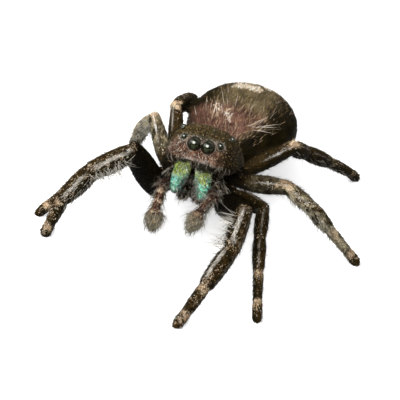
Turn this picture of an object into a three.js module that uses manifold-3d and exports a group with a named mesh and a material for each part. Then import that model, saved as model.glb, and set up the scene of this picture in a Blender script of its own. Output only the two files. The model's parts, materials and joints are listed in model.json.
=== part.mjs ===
// A jumping spider, standing on eight feet: a still, life-size model in millimetres.
// It faces -Y, its own left is +X, and the soles of its feet lie at z = 0.
import * as THREE from 'three';
import { mergeVertices } from 'three/addons/utils/BufferGeometryUtils.js';
import Module from 'manifold-3d';

const wasm = await Module();
wasm.setup();

// ---------------------------------------------------------------- driving sizes

const HEAD_CENTRE = [-0.22, 0, 4.05];
const HEAD_PITCH = 14;             // degrees that the face is raised
const HEAD_TURN = 6;               // degrees that the face is turned to the animal's left
const FOOT_HEIGHT = 0.2;           // centre of each tarsus tip above the floor
const SOLE_BAND = 0.06;            // what lies lower than this is pressed flat on the floor
const JOINT_GAP = 0.02;            // slit between two neighbouring pieces of a limb
const CUT_GAP = 0.03;              // room left round a piece that sits in another

const UNDERSIDE = -0.72;           // the carapace's flat underside, in the head's frame

const EYES = {
  main: { radius: 0.295, at: [0.32, -2.45, 0.765] },
  side: { radius: 0.15, at: [0.87, -2.34, 0.95] },
  small: { radius: 0.07, at: [1.12, -1.5, 1.12] },
  rear: { radius: 0.13, at: [1.17, -0.85, 1.03] },
};

// Carapace outline from front to rear: [y, half width, top, underside, squareness].
const CARAPACE = [
  [-2.5, 1.0, 1.0, 0.1, 2.8],
  [-2.4, 1.32, 1.14, -0.08, 3.1],
  [-2.15, 1.52, 1.25, -0.3, 3.3],
  [-1.7, 1.66, 1.33, -0.58, 3.3],
  [-1.0, 1.76, 1.36, UNDERSIDE, 3.2],
  [-0.3, 1.83, 1.28, UNDERSIDE, 2.9],
  [0.4, 1.85, 1.04, UNDERSIDE, 2.5],
  [1.1, 1.72, 0.64, UNDERSIDE, 2.2],
  [1.75, 1.38, 0.22, -0.65, 2.1],
  [2.2, 0.8, -0.12, -0.5, 2.0],
];
const CARAPACE_NARROWING = 0.2;    // how much narrower the carapace is at its top

const ABDOMEN = {
  centre: [-0.14, 5.8, 2.68],
  half: [2.7, 3.45, 1.77],
  yaw: 1.5,
  rearFullness: 0.07,
  bluntness: { front: 0.78, rear: 0.88 },
  flatBelly: 0.88,
};

// Length of each joint of a leg, from the coxa with its trochanter out to the tarsus.
const LEG_LENGTHS = {
  1: [1.45, 2.7, 1.95, 2.05, 1.45, 0.7],
  2: [1.2, 2.25, 1.45, 1.55, 1.45, 0.9],
  3: [0.95, 2.6, 1.4, 1.5, 1.6, 0.85],
  4: [1.4, 2.9, 1.5, 2.0, 2.0, 0.95],
};

// Half depth and half width of each joint with its coat: femur, patella, tibia, metatarsus, tarsus.
const LEG_GIRTHS = {
  1: [[0.66, 0.5], [0.56, 0.5], [0.5, 0.44], [0.33, 0.31], [0.29, 0.27]],
  2: [[0.46, 0.37], [0.39, 0.36], [0.37, 0.34], [0.27, 0.26], [0.26, 0.25]],
  3: [[0.48, 0.39], [0.42, 0.38], [0.4, 0.36], [0.28, 0.27], [0.26, 0.25]],
  4: [[0.48, 0.38], [0.43, 0.4], [0.42, 0.38], [0.3, 0.28], [0.26, 0.25]],
};

const SEGMENTS = ['femur', 'patella', 'tibia', 'metatarsus', 'tarsus'];

// How far each joint narrows at its two ends, and where along it the swelling is greatest.
const SEGMENT_FORM = {
  femur: { root: 0.72, end: 0.78, bellyAt: 0.45, rings: 6 },
  patella: { root: 0.84, end: 0.84, bellyAt: 0.5, rings: 4 },
  tibia: { root: 0.86, end: 0.84, bellyAt: 0.42, rings: 5 },
  metatarsus: { root: 0.94, end: 0.88, bellyAt: 0.3, rings: 4 },
  tarsus: { root: 0.9, end: 0.94, bellyAt: 0.6, rings: 4 },
};

// Where each coxa leaves the breastplate, in the head's frame, the way it points, and how much
// it drops for each millimetre outwards.
const COXAE = {
  1: { at: [0.8, -1.1, -1.05], heading: -54, droop: 0.54 },
  2: { at: [0.85, -0.35, -1.05], heading: -24, droop: 0.39 },
  3: { at: [0.85, 0.4, -1.05], heading: 8, droop: 0.11 },
  4: { at: [0.75, 1.1, -1.05], heading: 48, droop: 0 },
};

// The stance. A leg bends in one upright plane: heading is that plane's compass angle from
// straight out sideways, lean tips the plane, sweep turns the part beyond the patella, and
// slopes are the angles above level of femur, patella, tibia, metatarsus and tarsus.
const STANCE = {
  left_1: { heading: -65, lean: 24, sweep: -21, slopes: [27, -39, -39, -42, -62] },
  left_2: { heading: -46, lean: 30, sweep: 4, slopes: [14, -44, -44, -43, -43] },
  left_3: { heading: -8, lean: -12, sweep: 28, slopes: [17, -25, -47, -47, -47] },
  left_4: { heading: 61.6, lean: -22, sweep: -13, slopes: [18, -28, -29, -31, -38] },
  right_1: { heading: -42, lean: -8, sweep: 20, slopes: [50, -27, -59, -75, -78] },
  right_2: { heading: -40, lean: -18, sweep: 9, slopes: [35, -31, -57, -58, -60] },
  right_3: { heading: 51.5, lean: 7, sweep: 24.5, slopes: [19, -45, -46, -38, -30] },
  right_4: { heading: 80.5, lean: -31, sweep: -6, slopes: [22, -12, -27, -62, -58] },
};

// Each palp's joints: root, elbow, wrist and tip of its hand.
const PALPS = {
  left: [[0.82, -2.0, 3.35], [1.3, -3.2, 3.55], [1.0, -4.0, 3.0], [0.86, -4.3, 2.42]],
  right: [[-0.8, -2.15, 3.35], [-1.12, -3.3, 3.4], [-1.03, -4.0, 2.5], [-0.97, -4.2, 1.75]],
};
const PALP_ARM = { girth: 0.255, form: { root: 0.85, end: 0.9, bellyAt: 0.5, rings: 3 } };
const PALP_HAND = {
  depth: 0.42,
  width: 0.46,
  form: { root: 0.72, end: 0.66, bellyAt: 0.5, rings: 6 },
};

// The jaws hang a little to one side, so each has its own ends, in the head's frame.
const CHELICERAE = {
  left: { root: [0.32, -2.14, -0.2], tip: [0.57, -2.6, -1.38] },
  right: { root: [-0.57, -2.14, -0.2], tip: [-0.68, -2.6, -1.38] },
};
const CHELICERA = {
  depth: 0.43,
  width: 0.385,
  topCut: [0, -0.5, -0.87],
  form: { root: 0.86, end: 0.72, bellyAt: 0.45, rings: 5 },
};

// A fang starts at its knuckle, beside the jaw's tip, and points inward and back.
const FANG = {
  radius: 0.11,
  length: 0.45,
  knuckle: [0, 0.12, -0.12],
  inward: [0.8, 0.55, -0.1],
  form: { root: 1, end: 0.35, bellyAt: 0.2, rings: 3 },
};

// The breastplate is a flattened ball; the mouthparts are a pair of lobes in front of it.
const STERNUM = { half: [0.95, 1.75, 0.36], at: [0, 0.1, -1.17] };
const MOUTH_LOBE = {
  from: [0.4, -1.1, -1.15],
  to: [0.37, -1.8, -1.86],
  depth: 0.28,
  width: 0.38,
  form: { root: 0.9, end: 0.9, bellyAt: 0.5, rings: 2 },
};
const COXA = {
  depthOfFemur: 0.86,
  widthOfFemur: 0.92,
  form: { root: 0.95, end: 0.82, bellyAt: 0.45, rings: 2 },
};

// The waist joins the abdomen to the head; its ends are measured from the abdomen's front.
const WAIST = {
  from: [0.1, -0.05, -0.2],
  to: [0, 1.0, -0.1],
  depth: 0.3,
  width: 0.38,
  form: { root: 0.95, end: 1, bellyAt: 0.5, rings: 3 },
};

// The spinnerets stand on a disc under the tail; places are measured from the abdomen's rear.
const SPINNERET_FORM = { root: 1, end: 0.6, bellyAt: 0.3, rings: 2 };
const SPINNERET_BASE = { from: [0, -0.45, -0.55], to: [0, 0, -0.62], depth: 0.34, width: 0.42 };
const SPINNERETS = [
  { from: [0.17, -0.1, -0.6], to: [0.24, 0.55, -0.7], radius: 0.15 },
  { from: [0.17, -0.1, -0.92], to: [0.24, 0.38, -1.02], radius: 0.16 },
];

// ---------------------------------------------------------------- finishes

const finish = (color, roughness, metalness = 0) =>
  new THREE.MeshStandardMaterial({ color, roughness, metalness });

const FINISHES = {
  carapace: () => finish(0x3a2c22, 0.8),
  abdomen: () => finish(0x3a3228, 0.85),
  leg: () => finish(0x2c231b, 0.75),
  palp: () => finish(0x5a4a3e, 0.85),
  underside: () => finish(0x1e1812, 0.7),
  chelicera: () => finish(0x2f8f78, 0.3, 0.7),
  eye: () => finish(0x060606, 0.05),
};

// ---------------------------------------------------------------- small helpers

const vec = (x, y, z) => new THREE.Vector3(x, y, z);
const mirrored = ([x, y, z], side) => vec(side * x, y, z);
const degrees = THREE.MathUtils.degToRad;
const lerp = THREE.MathUtils.lerp;

function signedVolume(positions, index) {
  const a = new THREE.Vector3();
  const b = new THREE.Vector3();
  const c = new THREE.Vector3();
  let sum = 0;
  for (let i = 0; i < index.length; i += 3) {
    a.fromArray(positions, index[i] * 3);
    b.fromArray(positions, index[i + 1] * 3);
    c.fromArray(positions, index[i + 2] * 3);
    sum += a.dot(b.cross(c));
  }
  return sum / 6;
}

function closedGeometry(positions, index) {
  if (signedVolume(positions, index) < 0) {
    for (let i = 0; i < index.length; i += 3) {
      [index[i], index[i + 1]] = [index[i + 1], index[i]];
    }
  }
  const geometry = new THREE.BufferGeometry();
  geometry.setAttribute('position', new THREE.Float32BufferAttribute(positions, 3));
  geometry.setIndex(index);
  geometry.computeVertexNormals();
  return geometry;
}

// A closed body through rings of equal length; each end is closed by a fan to `poles`.
function loft(rings, poles) {
  const around = rings[0].length;
  const positions = rings.flat().flatMap((p) => p.toArray());
  positions.push(...poles[0].toArray(), ...poles[1].toArray());
  const firstPole = rings.length * around;
  const lastRing = firstPole - around;
  const index = [];
  for (let j = 0; j < around; j += 1) {
    const k = (j + 1) % around;
    for (let i = 0; i < rings.length - 1; i += 1) {
      const a = i * around + j;
      const b = i * around + k;
      index.push(a, b, b + around, a, b + around, a + around);
    }
    index.push(firstPole, k, j);
    index.push(firstPole + 1, lastRing + j, lastRing + k);
  }
  return closedGeometry(positions, index);
}

function middle(ring) {
  const sum = new THREE.Vector3();
  ring.forEach((p) => sum.add(p));
  return sum.divideScalar(ring.length);
}

function toSolid(geometry) {
  const bare = geometry.clone();
  bare.deleteAttribute('normal');
  bare.deleteAttribute('uv');
  const merged = mergeVertices(bare, 1e-5);
  return new wasm.Manifold(new wasm.Mesh({
    numProp: 3,
    vertProperties: new Float32Array(merged.attributes.position.array),
    triVerts: new Uint32Array(merged.index.array),
  }));
}

function fromSolid(solid) {
  const mesh = solid.getMesh();
  return closedGeometry(Array.from(mesh.vertProperties), Array.from(mesh.triVerts));
}

function ball(radius, at, segments) {
  const geometry = new THREE.SphereGeometry(radius, segments, Math.round(segments * 0.6));
  return geometry.rotateX(Math.PI / 2).translate(...at);
}

// A rounded end is two narrowing rings and a pole; each ring has a share of the girth and a
// reach beyond the end, and the pole has a reach beyond the last ring.
const ROUND_END = { rings: [[0.87, 0.5], [0.5, 0.87]], pole: 0.13 };

// A rounded limb between two points. Each end is cut along a plane, given as the unit vector
// square to it, so that two neighbours meet face to face; an end without a plane is rounded.
function limb({ from, to, cutFrom, cutTo, depth, width, form, around = 10, up = vec(0, 0, 1) }) {
  const axis = to.clone().sub(from);
  const length = axis.length();
  axis.normalize();
  const side = axis.clone().cross(up).normalize();
  const top = side.clone().cross(axis).normalize();
  const girth = (t) => {
    const swell = Math.sin(Math.PI * t ** (Math.log(0.5) / Math.log(form.bellyAt)));
    const plain = lerp(form.root, form.end, t);
    return plain + (1 - plain) * swell;
  };
  const ringAt = (t, scale, beyond) => Array.from({ length: around }, (_, j) => {
    const turn = (j / around) * 2 * Math.PI;
    const offset = side.clone().multiplyScalar(Math.cos(turn) * width * girth(t) * scale);
    offset.addScaledVector(top, Math.sin(turn) * depth * girth(t) * scale);
    const start = cutFrom ? -offset.dot(cutFrom) / axis.dot(cutFrom) + JOINT_GAP / 2 : 0;
    const stop = cutTo ? length - offset.dot(cutTo) / axis.dot(cutTo) - JOINT_GAP / 2 : length;
    return from.clone().add(offset).addScaledVector(axis, lerp(start, stop, t) + beyond);
  });
  const rings = [];
  const roundTo = Math.min(depth, width) * form.end;
  const roundFrom = Math.min(depth, width) * form.root;
  for (let i = 0; i < form.rings; i += 1) rings.push(ringAt(i / (form.rings - 1), 1, 0));
  for (const [share, reach] of ROUND_END.rings) {
    if (!cutFrom) rings.unshift(ringAt(0, share, -roundFrom * reach));
    if (!cutTo) rings.push(ringAt(1, share, roundTo * reach));
  }
  const poles = [middle(rings[0]), middle(rings.at(-1))];
  if (!cutFrom) poles[0].addScaledVector(axis, -roundFrom * ROUND_END.pole);
  if (!cutTo) poles[1].addScaledVector(axis, roundTo * ROUND_END.pole);
  return loft(rings, poles);
}

function bisector(a, b, c) {
  const first = b.clone().sub(a).normalize();
  const second = c.clone().sub(b).normalize();
  return first.add(second).normalize();
}

function named(name, geometry, material) {
  const mesh = new THREE.Mesh(geometry, material);
  mesh.name = name;
  return mesh;
}

// A mesh whose geometry is kept round its own anchor point, where the mesh is then placed.
function placed(name, geometry, material, anchor) {
  geometry.translate(-anchor.x, -anchor.y, -anchor.z);
  const mesh = named(name, geometry, material);
  mesh.position.copy(anchor);
  return mesh;
}

// ---------------------------------------------------------------- head and breast

const head = new THREE.Group();
head.position.set(...HEAD_CENTRE);
head.rotation.set(-degrees(HEAD_PITCH), 0, degrees(HEAD_TURN), 'ZXY');
head.updateMatrixWorld(true);
const worldToHead = head.matrixWorld.clone().invert();

function superEllipse(turn, halfWidth, topHeight, bottomHeight, power) {
  const waist = lerp(bottomHeight, topHeight, 0.3);
  const c = Math.cos(turn);
  const s = Math.sin(turn);
  const rise = Math.sign(s) * Math.abs(s) ** (2 / power);
  const reach = s > 0 ? topHeight - waist : waist - bottomHeight;
  const narrowing = 1 - CARAPACE_NARROWING * Math.max(0, rise);
  const x = halfWidth * Math.sign(c) * Math.abs(c) ** (2 / power) * narrowing;
  return [x, waist + reach * rise];
}

function carapaceGeometry() {
  const around = 16;
  const rings = CARAPACE.map(([y, halfWidth, high, low, power]) => (
    Array.from({ length: around }, (_, j) => {
      const [x, z] = superEllipse((j / around) * 2 * Math.PI, halfWidth, high, low, power);
      return vec(x, y, z);
    })
  ));
  const poles = [middle(rings[0]), middle(rings.at(-1))];
  poles[0].y -= 0.03;
  poles[1].y += 0.02;
  return loft(rings, poles);
}

const eyeSides = (radius) => Math.round(5 + 24 * radius);

function buildCarapace() {
  let solid = toSolid(carapaceGeometry());
  for (const { radius, at: [x, y, z] } of Object.values(EYES)) {
    for (const side of [1, -1]) {
      const socket = ball(radius + CUT_GAP, [side * x, y, z], eyeSides(radius));
      solid = solid.subtract(toSolid(socket));
    }
  }
  return named('carapace', fromSolid(solid), FINISHES.carapace());
}

function buildEyes() {
  const meshes = [];
  for (const [kind, { radius, at: [x, y, z] }] of Object.entries(EYES)) {
    for (const [sideName, side] of [['left', 1], ['right', -1]]) {
      const geometry = ball(radius, [0, 0, 0], eyeSides(radius));
      const bare = mergeVertices(geometry.deleteAttribute('normal').deleteAttribute('uv'), 1e-5);
      const mesh = named(`eye_${kind}_${sideName}`, bare, FINISHES.eye());
      mesh.position.set(side * x, y, z);
      meshes.push(mesh);
    }
  }
  return meshes;
}

// In the head's frame, and not yet named.
function buildChelicera(sideName) {
  const [root, tip] = [CHELICERAE[sideName].root, CHELICERAE[sideName].tip].map((p) => vec(...p));
  const base = limb({
    from: root,
    to: tip,
    cutFrom: vec(...CHELICERA.topCut),
    depth: CHELICERA.depth,
    width: CHELICERA.width,
    form: CHELICERA.form,
    around: 12,
    up: vec(0, -1, 0),
  });
  const inward = vec(...FANG.inward).normalize();
  inward.x *= -Math.sign(tip.x);
  const knuckle = tip.clone().add(vec(...FANG.knuckle));
  const fang = limb({
    from: knuckle,
    to: knuckle.clone().addScaledVector(inward, FANG.length),
    depth: FANG.radius,
    width: FANG.radius,
    form: FANG.form,
    around: 6,
  });
  return toSolid(base).add(toSolid(fang)).subtract(toSolid(carapaceGeometry()));
}

// ---------------------------------------------------------------- legs

function legPoints(number, side, { heading, lean, sweep, slopes }, lift) {
  const lengths = LEG_LENGTHS[number];
  const { at: [x, y, z], heading: coxaHeading, droop } = COXAE[number];
  const out = vec(Math.cos(degrees(coxaHeading)), Math.sin(degrees(coxaHeading)), -droop);
  const hip = vec(x, y, z).addScaledVector(out.normalize(), lengths[0]);
  const points = [vec(x, y, z), hip].map((p) => p.setX(side * p.x).applyMatrix4(head.matrixWorld));
  slopes.forEach((slope, i) => {
    const turn = degrees(heading + (i >= 2 ? sweep : 0));
    const level = vec(Math.cos(turn), Math.sin(turn), 0);
    const across = vec(-Math.sin(turn), Math.cos(turn), 0);
    const upward = vec(0, 0, Math.cos(degrees(lean))).addScaledVector(across, Math.sin(degrees(lean)));
    const angle = degrees(slope + lift);
    const way = level.multiplyScalar(Math.cos(angle)).addScaledVector(upward, Math.sin(angle));
    way.x *= side;
    points.push(points.at(-1).clone().addScaledVector(way, lengths[i + 1]));
  });
  return points;
}

// The leg swings about its hip until the tip of the tarsus is at its height above the floor.
function standingLeg(number, side, stance) {
  let low = -20;
  let high = 20;
  for (let i = 0; i < 30; i += 1) {
    const lift = (low + high) / 2;
    if (legPoints(number, side, stance, lift).at(-1).z > FOOT_HEIGHT) high = lift;
    else low = lift;
  }
  return legPoints(number, side, stance, low);
}

function pressFlat(geometry) {
  const position = geometry.attributes.position;
  for (let i = 0; i < position.count; i += 1) {
    if (position.getZ(i) < SOLE_BAND) position.setZ(i, 0);
  }
  return geometry;
}

const LEGS = Object.entries(STANCE).map(([name, stance]) => {
  const [sideName, number] = name.split('_');
  return { name, number, points: standingLeg(number, sideName === 'left' ? 1 : -1, stance) };
});

function buildLeg({ name, number, points }) {
  const group = new THREE.Group();
  SEGMENTS.forEach((segment, i) => {
    const [from, to] = [points[i + 1], points[i + 2]];
    const [depth, width] = LEG_GIRTHS[number][i];
    const isLast = i === SEGMENTS.length - 1;
    const geometry = limb({
      from,
      to,
      cutFrom: bisector(points[i], from, to),
      cutTo: isLast ? null : bisector(from, to, points[i + 3]),
      depth,
      width,
      form: SEGMENT_FORM[segment],
    });
    if (isLast) pressFlat(geometry);
    group.add(placed(`leg_${name}_${segment}`, geometry, FINISHES.leg(), from));
  });
  return group;
}

// The breastplate with the eight coxae and the mouthparts' bases, in the head's frame.
function buildSternum() {
  const plate = new THREE.SphereGeometry(1, 10, 6).scale(...STERNUM.half).translate(...STERNUM.at);
  let solid = toSolid(plate);
  for (const { number, points } of LEGS) {
    const [root, hip, knee] = points.slice(0, 3).map((p) => p.clone().applyMatrix4(worldToHead));
    const [depth, width] = LEG_GIRTHS[number][0];
    const coxa = limb({
      from: root,
      to: hip,
      cutTo: bisector(root, hip, knee),
      depth: depth * COXA.depthOfFemur,
      width: width * COXA.widthOfFemur,
      form: COXA.form,
      around: 8,
    });
    solid = solid.add(toSolid(coxa));
  }
  for (const side of [1, -1]) {
    const lobe = limb({
      from: mirrored(MOUTH_LOBE.from, side),
      to: mirrored(MOUTH_LOBE.to, side),
      depth: MOUTH_LOBE.depth,
      width: MOUTH_LOBE.width,
      form: MOUTH_LOBE.form,
      around: 6,
    });
    solid = solid.add(toSolid(lobe));
  }
  const roof = new THREE.BoxGeometry(4, 5, 1).translate(0, 0, UNDERSIDE + 0.5 - CUT_GAP);
  return solid.subtract(toSolid(roof));
}

// ---------------------------------------------------------------- palps

function buildPalp(sideName) {
  const [root, elbow, wrist, tip] = PALPS[sideName].map((p) => vec(...p));
  const cut = bisector(elbow, wrist, tip);
  const { girth, form } = PALP_ARM;
  const armShape = { depth: girth, width: girth, form, around: 7 };
  const upper = limb({ from: root, to: elbow, ...armShape });
  const fore = limb({ from: elbow, to: wrist, cutTo: cut, ...armShape });
  const hand = limb({ from: wrist, to: tip, cutFrom: cut, ...PALP_HAND });
  return { arm: toSolid(upper).add(toSolid(fore)), hand };
}

// ---------------------------------------------------------------- abdomen

function abdomenGeometry() {
  const around = 20;
  const steps = 12;
  const [halfWidth, halfLength, halfHeight] = ABDOMEN.half;
  const rings = [];
  for (let i = 1; i < steps; i += 1) {
    const turn = (i / steps) * Math.PI;
    const along = -Math.cos(turn);
    const bluntness = along < 0 ? ABDOMEN.bluntness.front : ABDOMEN.bluntness.rear;
    const girth = Math.sin(turn) ** bluntness * (1 + ABDOMEN.rearFullness * along);
    rings.push(Array.from({ length: around }, (_, j) => {
      const angle = (j / around) * 2 * Math.PI;
      const rise = Math.sin(angle);
      const low = rise < 0 ? ABDOMEN.flatBelly : 1;
      return vec(Math.cos(angle) * halfWidth * girth, along * halfLength, rise * halfHeight * girth * low);
    }));
  }
  return loft(rings, [vec(0, -halfLength, 0), vec(0, halfLength, 0)]);
}

function buildAbdomen() {
  const group = new THREE.Group();
  group.position.set(...ABDOMEN.centre);
  group.rotation.z = degrees(ABDOMEN.yaw);
  group.updateMatrixWorld(true);
  const front = vec(0, -ABDOMEN.half[1], 0);
  const waist = limb({
    ...WAIST,
    from: vec(...WAIST.from).add(front),
    to: vec(...WAIST.to).add(front),
    around: 8,
  });
  const solid = toSolid(abdomenGeometry()).add(toSolid(waist));
  group.add(named('abdomen', fromSolid(solid), FINISHES.abdomen()));
  group.add(buildSpinnerets());
  return group;
}

// Two long and two short spinnerets on one little disc under the tail.
function buildSpinnerets() {
  const rear = vec(0, ABDOMEN.half[1], 0);
  const base = limb({
    ...SPINNERET_BASE,
    from: vec(...SPINNERET_BASE.from).add(rear),
    to: vec(...SPINNERET_BASE.to).add(rear),
    form: SPINNERET_FORM,
    around: 6,
  });
  let solid = toSolid(base);
  for (const side of [1, -1]) {
    for (const { from, to, radius } of SPINNERETS) {
      const spinneret = limb({
        from: mirrored(from, side).add(rear),
        to: mirrored(to, side).add(rear),
        depth: radius,
        width: radius,
        form: SPINNERET_FORM,
        around: 5,
      });
      solid = solid.add(toSolid(spinneret));
    }
  }
  solid = solid.subtract(toSolid(abdomenGeometry().scale(1.01, 1.01, 1.01)));
  const pieces = solid.decompose().sort((a, b) => b.volume() - a.volume());
  return named('spinnerets', fromSolid(pieces[0]), FINISHES.underside());
}

// ---------------------------------------------------------------- the whole animal

const spider = new THREE.Group();
const breast = buildSternum();
head.add(buildCarapace());
head.add(named('sternum_coxae', fromSolid(breast), FINISHES.underside()));
buildEyes().forEach((eye) => head.add(eye));
for (const sideName of ['left', 'right']) {
  const jaw = buildChelicera(sideName).subtract(breast);
  head.add(named(`chelicera_${sideName}`, fromSolid(jaw), FINISHES.chelicera()));
  const keepOut = breast.add(jaw).transform(head.matrixWorld.toArray());
  const { arm, hand } = buildPalp(sideName);
  spider.add(named(`palp_${sideName}_arm`, fromSolid(arm.subtract(keepOut)), FINISHES.palp()));
  spider.add(named(`palp_${sideName}_hand`, hand, FINISHES.palp()));
}
spider.add(head);
LEGS.forEach((leg) => spider.add(buildLeg(leg)));
spider.add(buildAbdomen());

// The origin is the middle of the animal's box, on the floor.
const box = new THREE.Box3().setFromObject(spider, true);
const centre = box.getCenter(new THREE.Vector3());
spider.position.set(-centre.x, -centre.y, 0);

export default spider;
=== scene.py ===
"""The looks of a jumping spider: one skin with its hairy coat, eight eyes and two shining jaws."""

import json
import logging
import math
from dataclasses import dataclass, field, fields
from enum import Enum

import bpy
import numpy as np
from mathutils import Matrix, Vector
from mathutils.bvhtree import BVHTree

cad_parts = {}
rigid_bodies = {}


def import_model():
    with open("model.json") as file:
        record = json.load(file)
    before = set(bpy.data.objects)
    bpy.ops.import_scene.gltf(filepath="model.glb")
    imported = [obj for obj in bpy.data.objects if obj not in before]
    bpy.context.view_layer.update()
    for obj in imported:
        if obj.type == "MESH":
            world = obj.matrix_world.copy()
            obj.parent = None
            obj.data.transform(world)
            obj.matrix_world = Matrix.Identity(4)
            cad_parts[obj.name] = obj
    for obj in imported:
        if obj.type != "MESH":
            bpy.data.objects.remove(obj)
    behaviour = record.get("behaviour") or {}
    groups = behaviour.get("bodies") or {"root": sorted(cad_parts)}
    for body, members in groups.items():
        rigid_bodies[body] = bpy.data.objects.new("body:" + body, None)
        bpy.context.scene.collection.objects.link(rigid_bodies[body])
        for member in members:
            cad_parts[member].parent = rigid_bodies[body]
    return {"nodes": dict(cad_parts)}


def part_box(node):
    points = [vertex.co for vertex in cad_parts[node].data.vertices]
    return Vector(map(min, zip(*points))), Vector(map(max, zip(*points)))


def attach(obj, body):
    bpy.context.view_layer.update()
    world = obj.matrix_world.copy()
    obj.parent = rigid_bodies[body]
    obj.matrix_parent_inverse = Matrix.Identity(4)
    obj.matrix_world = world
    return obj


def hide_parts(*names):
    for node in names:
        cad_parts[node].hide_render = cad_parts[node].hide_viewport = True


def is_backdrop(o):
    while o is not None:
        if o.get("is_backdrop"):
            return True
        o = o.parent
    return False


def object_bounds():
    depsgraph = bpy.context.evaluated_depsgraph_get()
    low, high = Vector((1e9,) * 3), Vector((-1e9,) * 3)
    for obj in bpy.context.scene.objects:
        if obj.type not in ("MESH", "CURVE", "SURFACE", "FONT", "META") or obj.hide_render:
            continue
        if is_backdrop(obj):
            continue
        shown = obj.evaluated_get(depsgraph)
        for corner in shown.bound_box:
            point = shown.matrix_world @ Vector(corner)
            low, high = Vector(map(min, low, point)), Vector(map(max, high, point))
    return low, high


for leftover in list(bpy.data.objects):
    bpy.data.objects.remove(leftover)
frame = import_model()
CAD_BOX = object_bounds()

MM = 0.001
UP = np.array([0.0, 0.0, 1.0])
LOG = logging.getLogger("spider")
SIDES = (("left", 1), ("right", -1))
TRIANGLE_LIMIT = 190_000


# ---------------------------------------------------------------- numbers and colours

def pigment(code: str) -> np.ndarray:
    """The linear colour of a six-digit display code.

    Args:
        code: red, green and blue as hexadecimal pairs.

    Returns:
        The three linear components.
    """
    display = np.array([int(code[i:i + 2], 16) / 255 for i in (0, 2, 4)])
    return np.where(display <= 0.04045, display / 12.92, ((display + 0.055) / 1.055) ** 2.4)


INK = pigment("080602")
DARK = pigment("1d1705")
BROWN = pigment("382a12")
OLIVE = pigment("3e341b")
MOSS = pigment("5c5034")
MAROON = pigment("503527")
FLUSH = pigment("523729")
ROSE = pigment("94796a")
PLUM = pigment("442d27")
GOLD = pigment("b3905c")
CREAM = pigment("e6c49d")
SAND = pigment("c29c72")
IVORY = pigment("ffe6cb")
GREY = pigment("6d6652")
SILVER = pigment("b3aca0")
WHITE = pigment("ece6da")


def unit(v: np.ndarray) -> np.ndarray:
    """The vectors of an array at length one."""
    return v / np.maximum(np.linalg.norm(v, axis=-1, keepdims=True), 1e-9)


def flattened(ways: np.ndarray, normals: np.ndarray) -> np.ndarray:
    """Directions turned to lie along a surface with the given unit normals, at length one."""
    return unit(ways - (ways * normals).sum(-1, keepdims=True) * normals)


def ramp(x: np.ndarray, low: float, high: float) -> np.ndarray:
    """A smooth step from 0 at low to 1 at high; low may be the larger."""
    t = np.clip((x - low) / (high - low), 0, 1)
    return t * t * (3 - 2 * t)


def band(x: np.ndarray, middle: float, half: float, soft: float) -> np.ndarray:
    """1 within half of the middle, falling to 0 over the soft edge."""
    return 1 - ramp(np.abs(x - middle), half, half + soft)


def blend(a: np.ndarray, b: np.ndarray, weight: np.ndarray) -> np.ndarray:
    """Colours going from a to b by one weight for each row; either may be one colour for all rows."""
    return a + (b - a) * weight[:, None]


def shaded(colours: np.ndarray, change: np.ndarray) -> np.ndarray:
    """Colours made lighter by a share of themselves for each row."""
    return colours * (1 + change)[:, None]


class Mottle(Enum):
    """The smooth random fields: each one's seed, and the rough size of its patches in millimetres."""

    HEAD = (3, 0.3)
    ABDOMEN = (5, 0.5)
    LEG = (7, 0.2)
    BAR = (9, 0.15)
    JOINT = (11, 0.13)
    PALP = (13, 0.15)
    MOUSTACHE = (15, 0.22)
    BROW = (16, 0.15)
    STRIPE = (17, 0.3)
    GREY_SIDE = (18, 0.2)
    PALP_JOINT = (19, 0.1)
    HEAD_SPECKS = (24, 0.35)
    LEG_SPECKS = (49, 0.22)
    JAW = (91, 0.25)
    ABDOMEN_SPECKS = (97, 0.2)

    def at(self, points: np.ndarray) -> np.ndarray:
        """The field at points in the model's millimetres.

        Args:
            points: where it is read.

        Returns:
            A value for each point, mostly within -1 to 1.
        """
        seed, scale = self.value
        waves, rate, reach = 14, 2.2, 3.2
        rng = np.random.default_rng(seed)
        turns = rng.normal(size=(waves, 3)) * (rate / scale)
        phases = rng.uniform(0, 2 * math.pi, waves)
        return np.sin(points @ turns.T + phases).sum(1) / reach


# ---------------------------------------------------------------- shader maths

class Value:
    """A shader socket that takes part in arithmetic; each operator adds its node."""

    def __init__(self, tree: bpy.types.NodeTree, socket: bpy.types.NodeSocket) -> None:
        """Wraps one output socket of a tree."""
        self.tree = tree
        self.socket = socket

    def _maths(self, operation: str, first: "Value | float", second: "Value | float") -> "Value":
        """One Math node on two values.

        Args:
            operation: the node's operation.
            first: its first value.
            second: its second value.

        Returns:
            The result.
        """
        node = self.tree.nodes.new("ShaderNodeMath")
        node.operation = operation
        for socket, value in zip(node.inputs, (first, second)):
            if isinstance(value, Value):
                self.tree.links.new(value.socket, socket)
            else:
                socket.default_value = value
        return Value(self.tree, node.outputs[0])

    def __add__(self, other: "Value | float") -> "Value":
        """Sum."""
        return self._maths("ADD", self, other)

    __radd__ = __add__

    def __mul__(self, other: "Value | float") -> "Value":
        """Product."""
        return self._maths("MULTIPLY", self, other)

    __rmul__ = __mul__

    def __sub__(self, other: "Value | float") -> "Value":
        """Difference."""
        return self._maths("SUBTRACT", self, other)

    def __rsub__(self, other: "Value | float") -> "Value":
        """Difference, reflected."""
        return self._maths("SUBTRACT", other, self)


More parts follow.
